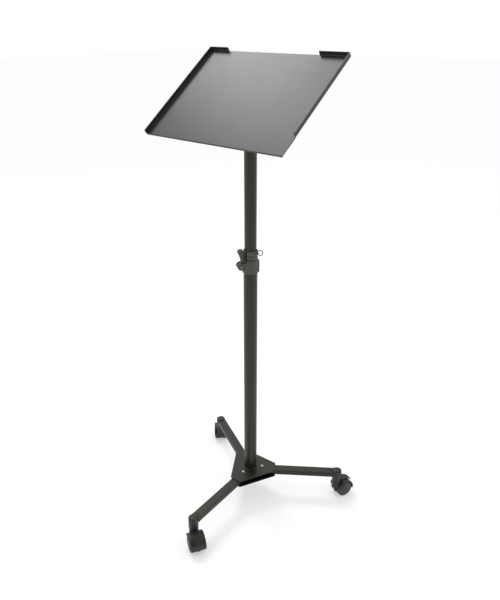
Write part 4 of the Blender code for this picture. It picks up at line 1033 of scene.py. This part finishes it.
def makeBracket():
    size = bracketSizes
    top = traySizes["rise"] - traySizes["sheet"] - gap
    thick = size["thickness"]
    x, y, corner = size["width"] / 2, size["depth"] / 2, size["corner"]
    spots = [(x, -y, corner), (x, y, corner), (-x, y, corner), (-x, -y, corner)]
    web = raised(outline(spots, rounds=8), thick)
    bm = join(bmesh.new(), soften(web, 0.0004, 2, radians(60)), Matrix.Translation((0, 0, top - thick / 2)))
    half, end = size["cheekWidth"] / 2, size["cheekEnd"]
    for side in (-1, 1):
        cheek = outline([
            (half, top - thick * 0.6), (half - 0.0004, top - thick - 0.0030, 0.0040),
            (end * 1.02, -end * 1.0, end * 0.86), (-end * 1.02, -end * 1.0, end * 0.86),
            (-half + 0.0004, top - thick - 0.0030, 0.0040), (-half, top - thick * 0.6),
        ], rounds=10)
        raised(cheek, thick)
        soften(cheek, 0.0004, 2, radians(60))
        middle = side * (size["cheekInner"] + thick / 2)
        join(bm, cheek, Matrix.Translation((middle, 0, 0)) @ Matrix.Rotation(pi / 2, 4, "Z") @ sideOn)
        weld = rod(size["weld"], -half + 0.002, half - 0.002, 0.0008, 12)
        bmesh.ops.subdivide_edges(
            weld, edges=[edge for edge in weld.edges if abs(edge.verts[0].co.z - edge.verts[1].co.z) > 0.02],
            cuts=30, use_grid_fill=True,
        )
        for vert in weld.verts:
            vert.co.xy *= 1 + 0.13 * sin(vert.co.z * 2 * pi / 0.0036)
        outer = side * (size["cheekInner"] + thick + 0.0002)
        join(bm, weld, Matrix.Translation((outer, 0, top - thick - 0.0002)) @ sideOn)
    piece(bm, "trayBracket", "tray", "black_coat", ["tray_bracket"], onPivot)


nutSizes = {
    "across": 0.0080,
    "height": 0.0040,
    "flangeRadius": 0.0046,
    "flange": 0.0008,
}


def makeTrayNuts():
    size = nutSizes
    half = size["height"] / 2
    seat = traySizes["rise"] - traySizes["sheet"] - 2 * gap - bracketSizes["thickness"]
    for number in (1, 2, 3, 4):
        x = studSizes["x"] * (1 if number in (2, 4) else -1)
        y = studSizes["y"] * (1 if number > 2 else -1)
        nut = soften(raised(hexagon(size["across"]), size["height"]), 0.0005, 2, radians(50))
        flange = rod(size["flangeRadius"], -half, size["flange"] - half, 0.0002, 28)
        join(nut, flange, Matrix.Rotation(pi, 4, "X"))
        spot = onPivot @ Matrix.Translation((x, y, seat - half))
        piece(nut, f"trayNut{number}", "tray", "zinc", [f"tray_nut_{number}"], spot)


boltSizes = {
    "head": 0.0082,
    "headLength": 0.0050,
    "radius": 0.0040,
    "reach": 0.0165,  # into the knob
    "socketAcross": 0.0050,
    "socketDepth": 0.0026,
}
outerFace = bracketSizes["cheekInner"] + bracketSizes["thickness"]
knobStart = outerFace + 0.0004


def makeTiltBolt():
    size = boltSizes
    headIn = -(outerFace + gap)
    headOut = headIn - size["headLength"]
    tip = knobStart + size["reach"]
    shaft = turned([
        (0, headOut), (size["head"] - 0.0010, headOut, 0.0006), (size["head"], headOut + 0.0022, 0.0010),
        (size["head"], headIn, 0.0002), (size["radius"], headIn), (size["radius"], tip, 0.0005), (0, tip),
    ], 48)
    socket = raised(hexagon(size["socketAcross"]), 2 * size["socketDepth"])
    socket.transform(Matrix.Translation((0, 0, headOut)))
    bolt = soften(carved(shaft, socket), 0.0002, 1, radians(70))
    piece(bolt, "tiltBolt", "tray", "zinc", ["tilt_bolt"], acrossPivot)


knobSizes = {
    "radius": 0.0180,
    "valley": 0.0140,
    "lobes": 6,
    "grip": 0.0132,
    "length": 0.0220,
    "neck": 0.0108,
}


def makeTiltKnob():
    size = knobSizes
    lobes = size["lobes"]
    spots = []
    for step in range(2 * lobes):
        radius = size["radius"] * 1.035 if step % 2 == 0 else size["valley"] * 0.97
        rounding = 0.0052 if step % 2 == 0 else 0.0046
        spots.append((radius * cos(pi * step / lobes), radius * sin(pi * step / lobes), rounding))
    grip = raised(outline(spots, rounds=8), size["grip"])
    soften(grip, 0.0022, 4, radians(60))
    knobEnd = knobStart + size["length"]
    grip.transform(Matrix.Translation((0, 0, knobEnd - size["grip"] / 2)))
    bore = boltSizes["radius"] + gap
    bm = carved(grip, rod(bore, 0, knobStart + boltSizes["reach"] + gap, 0, 24))
    neckTop = knobEnd - size["grip"] + 0.003
    neck = turned([
        (bore, knobStart, 0.0003), (size["neck"], knobStart, 0.0008),
        (size["neck"], neckTop), (bore, neckTop),
    ], 48, True)
    join(bm, neck)
    cap = turned([
        (0, knobEnd - 0.0010), (0.0070, knobEnd - 0.0010), (0.0074, knobEnd + 0.0003, 0.0003),
        (0.0060, knobEnd + 0.0003, 0.0003), (0.0055, knobEnd - 0.0002), (0, knobEnd - 0.0002),
    ], 40)
    join(bm, cap, Matrix.Translation((0, 0, -0.0003)))
    piece(bm, "tiltKnob", "tilt_knob", "moulded_plastic", ["tilt_knob"], acrossPivot)


traySizes = {
    "width": 0.3980,
    "depth": 0.2850,
    "rise": 0.0342,  # of its top surface from the pivot
    "sheet": 0.0015,
    "lip": 0.0100,
    "fold": 0.0015,
    "flange": 0.0015,
    "leftCorner": 0.0560,
    "rightCorner": 0.0770,
    "rightStop": 0.0510,
    "shift": -0.0115,
    "uphill": 0.0120,
    "lipRounding": 0.0030,
    "foldSteps": 5,
}
studSizes = {
    "x": 0.0480,
    "y": 0.0230,
    "radius": 0.0025,
    "length": 0.0100,
    "pitch": 0.0008,
}


def makeTray():
    size = traySizes
    sheet, fold = size["sheet"], size["fold"]
    left, right = -size["width"] / 2 + sheet, size["width"] / 2 - sheet
    low, high = -size["depth"] / 2, size["depth"] / 2 - sheet
    bm = outline([(left, low), (right, low), (right, high), (left, high)])
    for spot, square in (
        ((left + size["leftCorner"], 0, 0), (1, 0, 0)),
        ((right - size["rightCorner"], 0, 0), (1, 0, 0)),
        ((0, low + size["rightStop"], 0), (0, 1, 0)),
    ):
        whole = bm.verts[:] + bm.edges[:] + bm.faces[:]
        bmesh.ops.bisect_plane(bm, geom=whole, plane_co=spot, plane_no=square)

    def along(axis, value, wanted=None):
        found = []
        for edge in bm.edges:
            middle = (edge.verts[0].co + edge.verts[1].co) / 2
            onLine = all(abs(vert.co[axis] - value) < 1e-6 for vert in edge.verts)
            if onLine and (wanted is None or wanted(middle)):
                found.append(edge)
        return found

    def rise(edges, height):
        made = bmesh.ops.extrude_edge_only(bm, edges=edges)["geom"]
        verts = [item for item in made if isinstance(item, bmesh.types.BMVert)]
        bmesh.ops.translate(bm, verts=verts, vec=(0, 0, height))
        return verts

    lips = along(0, left) + along(0, right, lambda spot: spot.y > low + size["rightStop"])
    lips += along(1, high, lambda spot: not left + size["leftCorner"] < spot.x < right - size["rightCorner"])
    flange = along(1, low)
    tips = rise(lips, size["lip"])
    rise(flange, -size["flange"] - sheet)
    ends = [vert for vert in tips if len(vert.link_faces) == 1]
    bmesh.ops.bevel(
        bm, geom=ends, offset=size["lipRounding"], segments=5, profile=0.5, affect="VERTICES", material=-1
    )
    bmesh.ops.recalc_face_normals(bm, faces=bm.faces)
    folds = [edge for edge in bm.edges if len(edge.link_faces) == 2 and edge.calc_face_angle(0) > radians(40)]
    bmesh.ops.bevel(
        bm, geom=folds, offset=fold, segments=size["foldSteps"], profile=0.5, affect="EDGES", material=-1
    )
    bmesh.ops.remove_doubles(bm, verts=bm.verts, dist=1e-6)
    bmesh.ops.recalc_face_normals(bm, faces=bm.faces)
    main = max(bm.faces, key=lambda face: face.calc_area())
    if main.normal.z < 0:
        bmesh.ops.reverse_faces(bm, faces=bm.faces)

    place = onPivot @ Matrix.Translation((size["shift"], size["uphill"], size["rise"]))
    mesh = bpy.data.meshes.new("trayPanel")
    bm.transform(place)
    bm.to_mesh(mesh)
    bm.free()
    mesh.materials.append(panelCoat)
    mesh.shade_smooth()
    panel = bpy.data.objects.new("trayPanel", mesh)
    collection.objects.link(panel)
    thick = panel.modifiers.new("sheet", "SOLIDIFY")
    thick.thickness = sheet
    thick.offset = -1
    thick.use_even_offset = True
    edge = panel.modifiers.new("soft edge", "BEVEL")
    edge.width = 0.0003
    edge.segments = 2
    edge.limit_method = "ANGLE"
    edge.angle_limit = radians(60)
    steady = panel.modifiers.new("even shading", "WEIGHTED_NORMAL")
    steady.keep_sharp = True
    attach(panel, "tray")
    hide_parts("tray_panel")


def makeStuds():
    size = studSizes
    radius, pitch = size["radius"], size["pitch"]
    top = traySizes["rise"] - traySizes["sheet"] / 2
    tip = top - size["length"]
    thread = []
    for step in range(int(size["length"] / pitch) - 1):
        low = tip + 0.0005 + step * pitch
        thread += [(radius, low), (radius - 0.0003, low + pitch / 2)]
    studs = bmesh.new()
    for x in (-size["x"], size["x"]):
        for y in (-size["y"], size["y"]):
            stud = turned([(0, tip), (radius - 0.0004, tip), *thread, (radius, top), (0, top)], 20)
            join(studs, stud, Matrix.Translation((x, y, 0)))
    piece(studs, "trayStuds", "tray", "zinc", [], onPivot, 25, False)


makeHead()
makeBracket()
makeTrayNuts()
makeTiltBolt()
makeTiltKnob()
print("tilt head done")
makeTray()
makeStuds()
print("tray done")


studio = {
    "floorSize": 40.0,
    "sky": 1.05,
    "room": 0.95,
    "darkCorner": (0.62, -0.74, 0.22),
    "cornerSpread": (0.45, 0.96),
    "cornerLight": 0.22,
    "keyDirection": (-0.615, 0.215, 0.76),
    "keyDistance": 2.6,
    "keySize": 1.1,
    "keyPower": 28.0,
    "floorGlow": 0.42,
}
shot = {
    "azimuth": radians(40.33),
    "distance": 1.395,
    "height": 1.2715,
    "pitch": radians(25.0),
    "lens": 36.42,
    "shift": -0.5 / 600,
}


def makeFloor():
    bm = bmesh.new()
    bmesh.ops.create_grid(bm, x_segments=4, y_segments=4, size=studio["floorSize"] / 2)
    mesh = bpy.data.meshes.new("floor")
    bm.to_mesh(mesh)
    bm.free()
    glow = {"Emission Color": (1, 1, 1, 1), "Emission Strength": studio["floorGlow"]}
    paint = Paint("paleFloor", {"Specular IOR Level": 0.0, **glow})
    tone = paint.blend(paint.noise(0.8, 2, 0.5), (0.66, 0.66, 0.66), (0.68, 0.68, 0.68))
    mesh.materials.append(paint.finish(tone, 0.9, paint.bump(paint.noise(300), 0.00002, 0.2)))
    floor = bpy.data.objects.new("floor", mesh)
    collection.objects.link(floor)


def areaLight(name, direction, distance, width, power, aim):
    light = bpy.data.lights.new(name, "AREA")
    light.shape = "SQUARE"
    light.size = width
    light.energy = power
    lamp = bpy.data.objects.new(name, light)
    collection.objects.link(lamp)
    away = Vector(direction).normalized()
    lamp.location = Vector(aim) + away * distance
    lamp.rotation_euler = away.to_track_quat("Z", "Y").to_euler()


def makeStudio():
    world = bpy.data.worlds.new("studio")
    bpy.context.scene.world = world
    world.use_nodes = True
    tree = world.node_tree
    sky = tree.nodes["Background"]
    sky.inputs["Color"].default_value = (1, 1, 1, 1)
    # the room is white, with a darker corner that only reflections and bounced light see
    facing = tree.nodes.new("ShaderNodeVectorMath")
    facing.operation = "DOT_PRODUCT"
    facing.inputs[1].default_value = Vector(studio["darkCorner"]).normalized()
    tree.links.new(tree.nodes.new("ShaderNodeTexCoord").outputs["Generated"], facing.inputs[0])
    fade = tree.nodes.new("ShaderNodeMapRange")
    fade.interpolation_type = "SMOOTHSTEP"
    for place, value in zip((1, 2, 3, 4), (*studio["cornerSpread"], studio["room"], studio["cornerLight"])):
        fade.inputs[place].default_value = value
    tree.links.new(facing.outputs["Value"], fade.inputs["Value"])
    strength = tree.nodes.new("ShaderNodeMix")
    strength.inputs["B"].default_value = studio["sky"]
    tree.links.new(tree.nodes.new("ShaderNodeLightPath").outputs["Is Camera Ray"], strength.inputs["Factor"])
    tree.links.new(fade.outputs["Result"], strength.inputs["A"])
    tree.links.new(strength.outputs["Result"], sky.inputs["Strength"])
    aim = onPivot @ Vector((traySizes["shift"], traySizes["uphill"], traySizes["rise"]))
    direction, distance = studio["keyDirection"], studio["keyDistance"]
    areaLight("softbox", direction, distance, studio["keySize"], studio["keyPower"], aim)
    bpy.context.scene.view_settings.view_transform = "Standard"


def makeCamera():
    data = bpy.data.cameras.new("camera")
    data.sensor_fit = "VERTICAL"
    data.sensor_height = 36
    data.sensor_width = 36
    data.lens = shot["lens"]
    data.shift_x = shot["shift"]
    camera = bpy.data.objects.new("camera", data)
    collection.objects.link(camera)
    turn = shot["azimuth"]
    camera.location = columnSpot + Vector((sin(turn), -cos(turn), 0)) * shot["distance"]
    camera.location.z = shot["height"]
    camera.rotation_euler = (pi / 2 - shot["pitch"], 0, turn)
    bpy.context.scene.camera = camera


makeFloor()
makeStudio()
makeCamera()

print("scene ready")
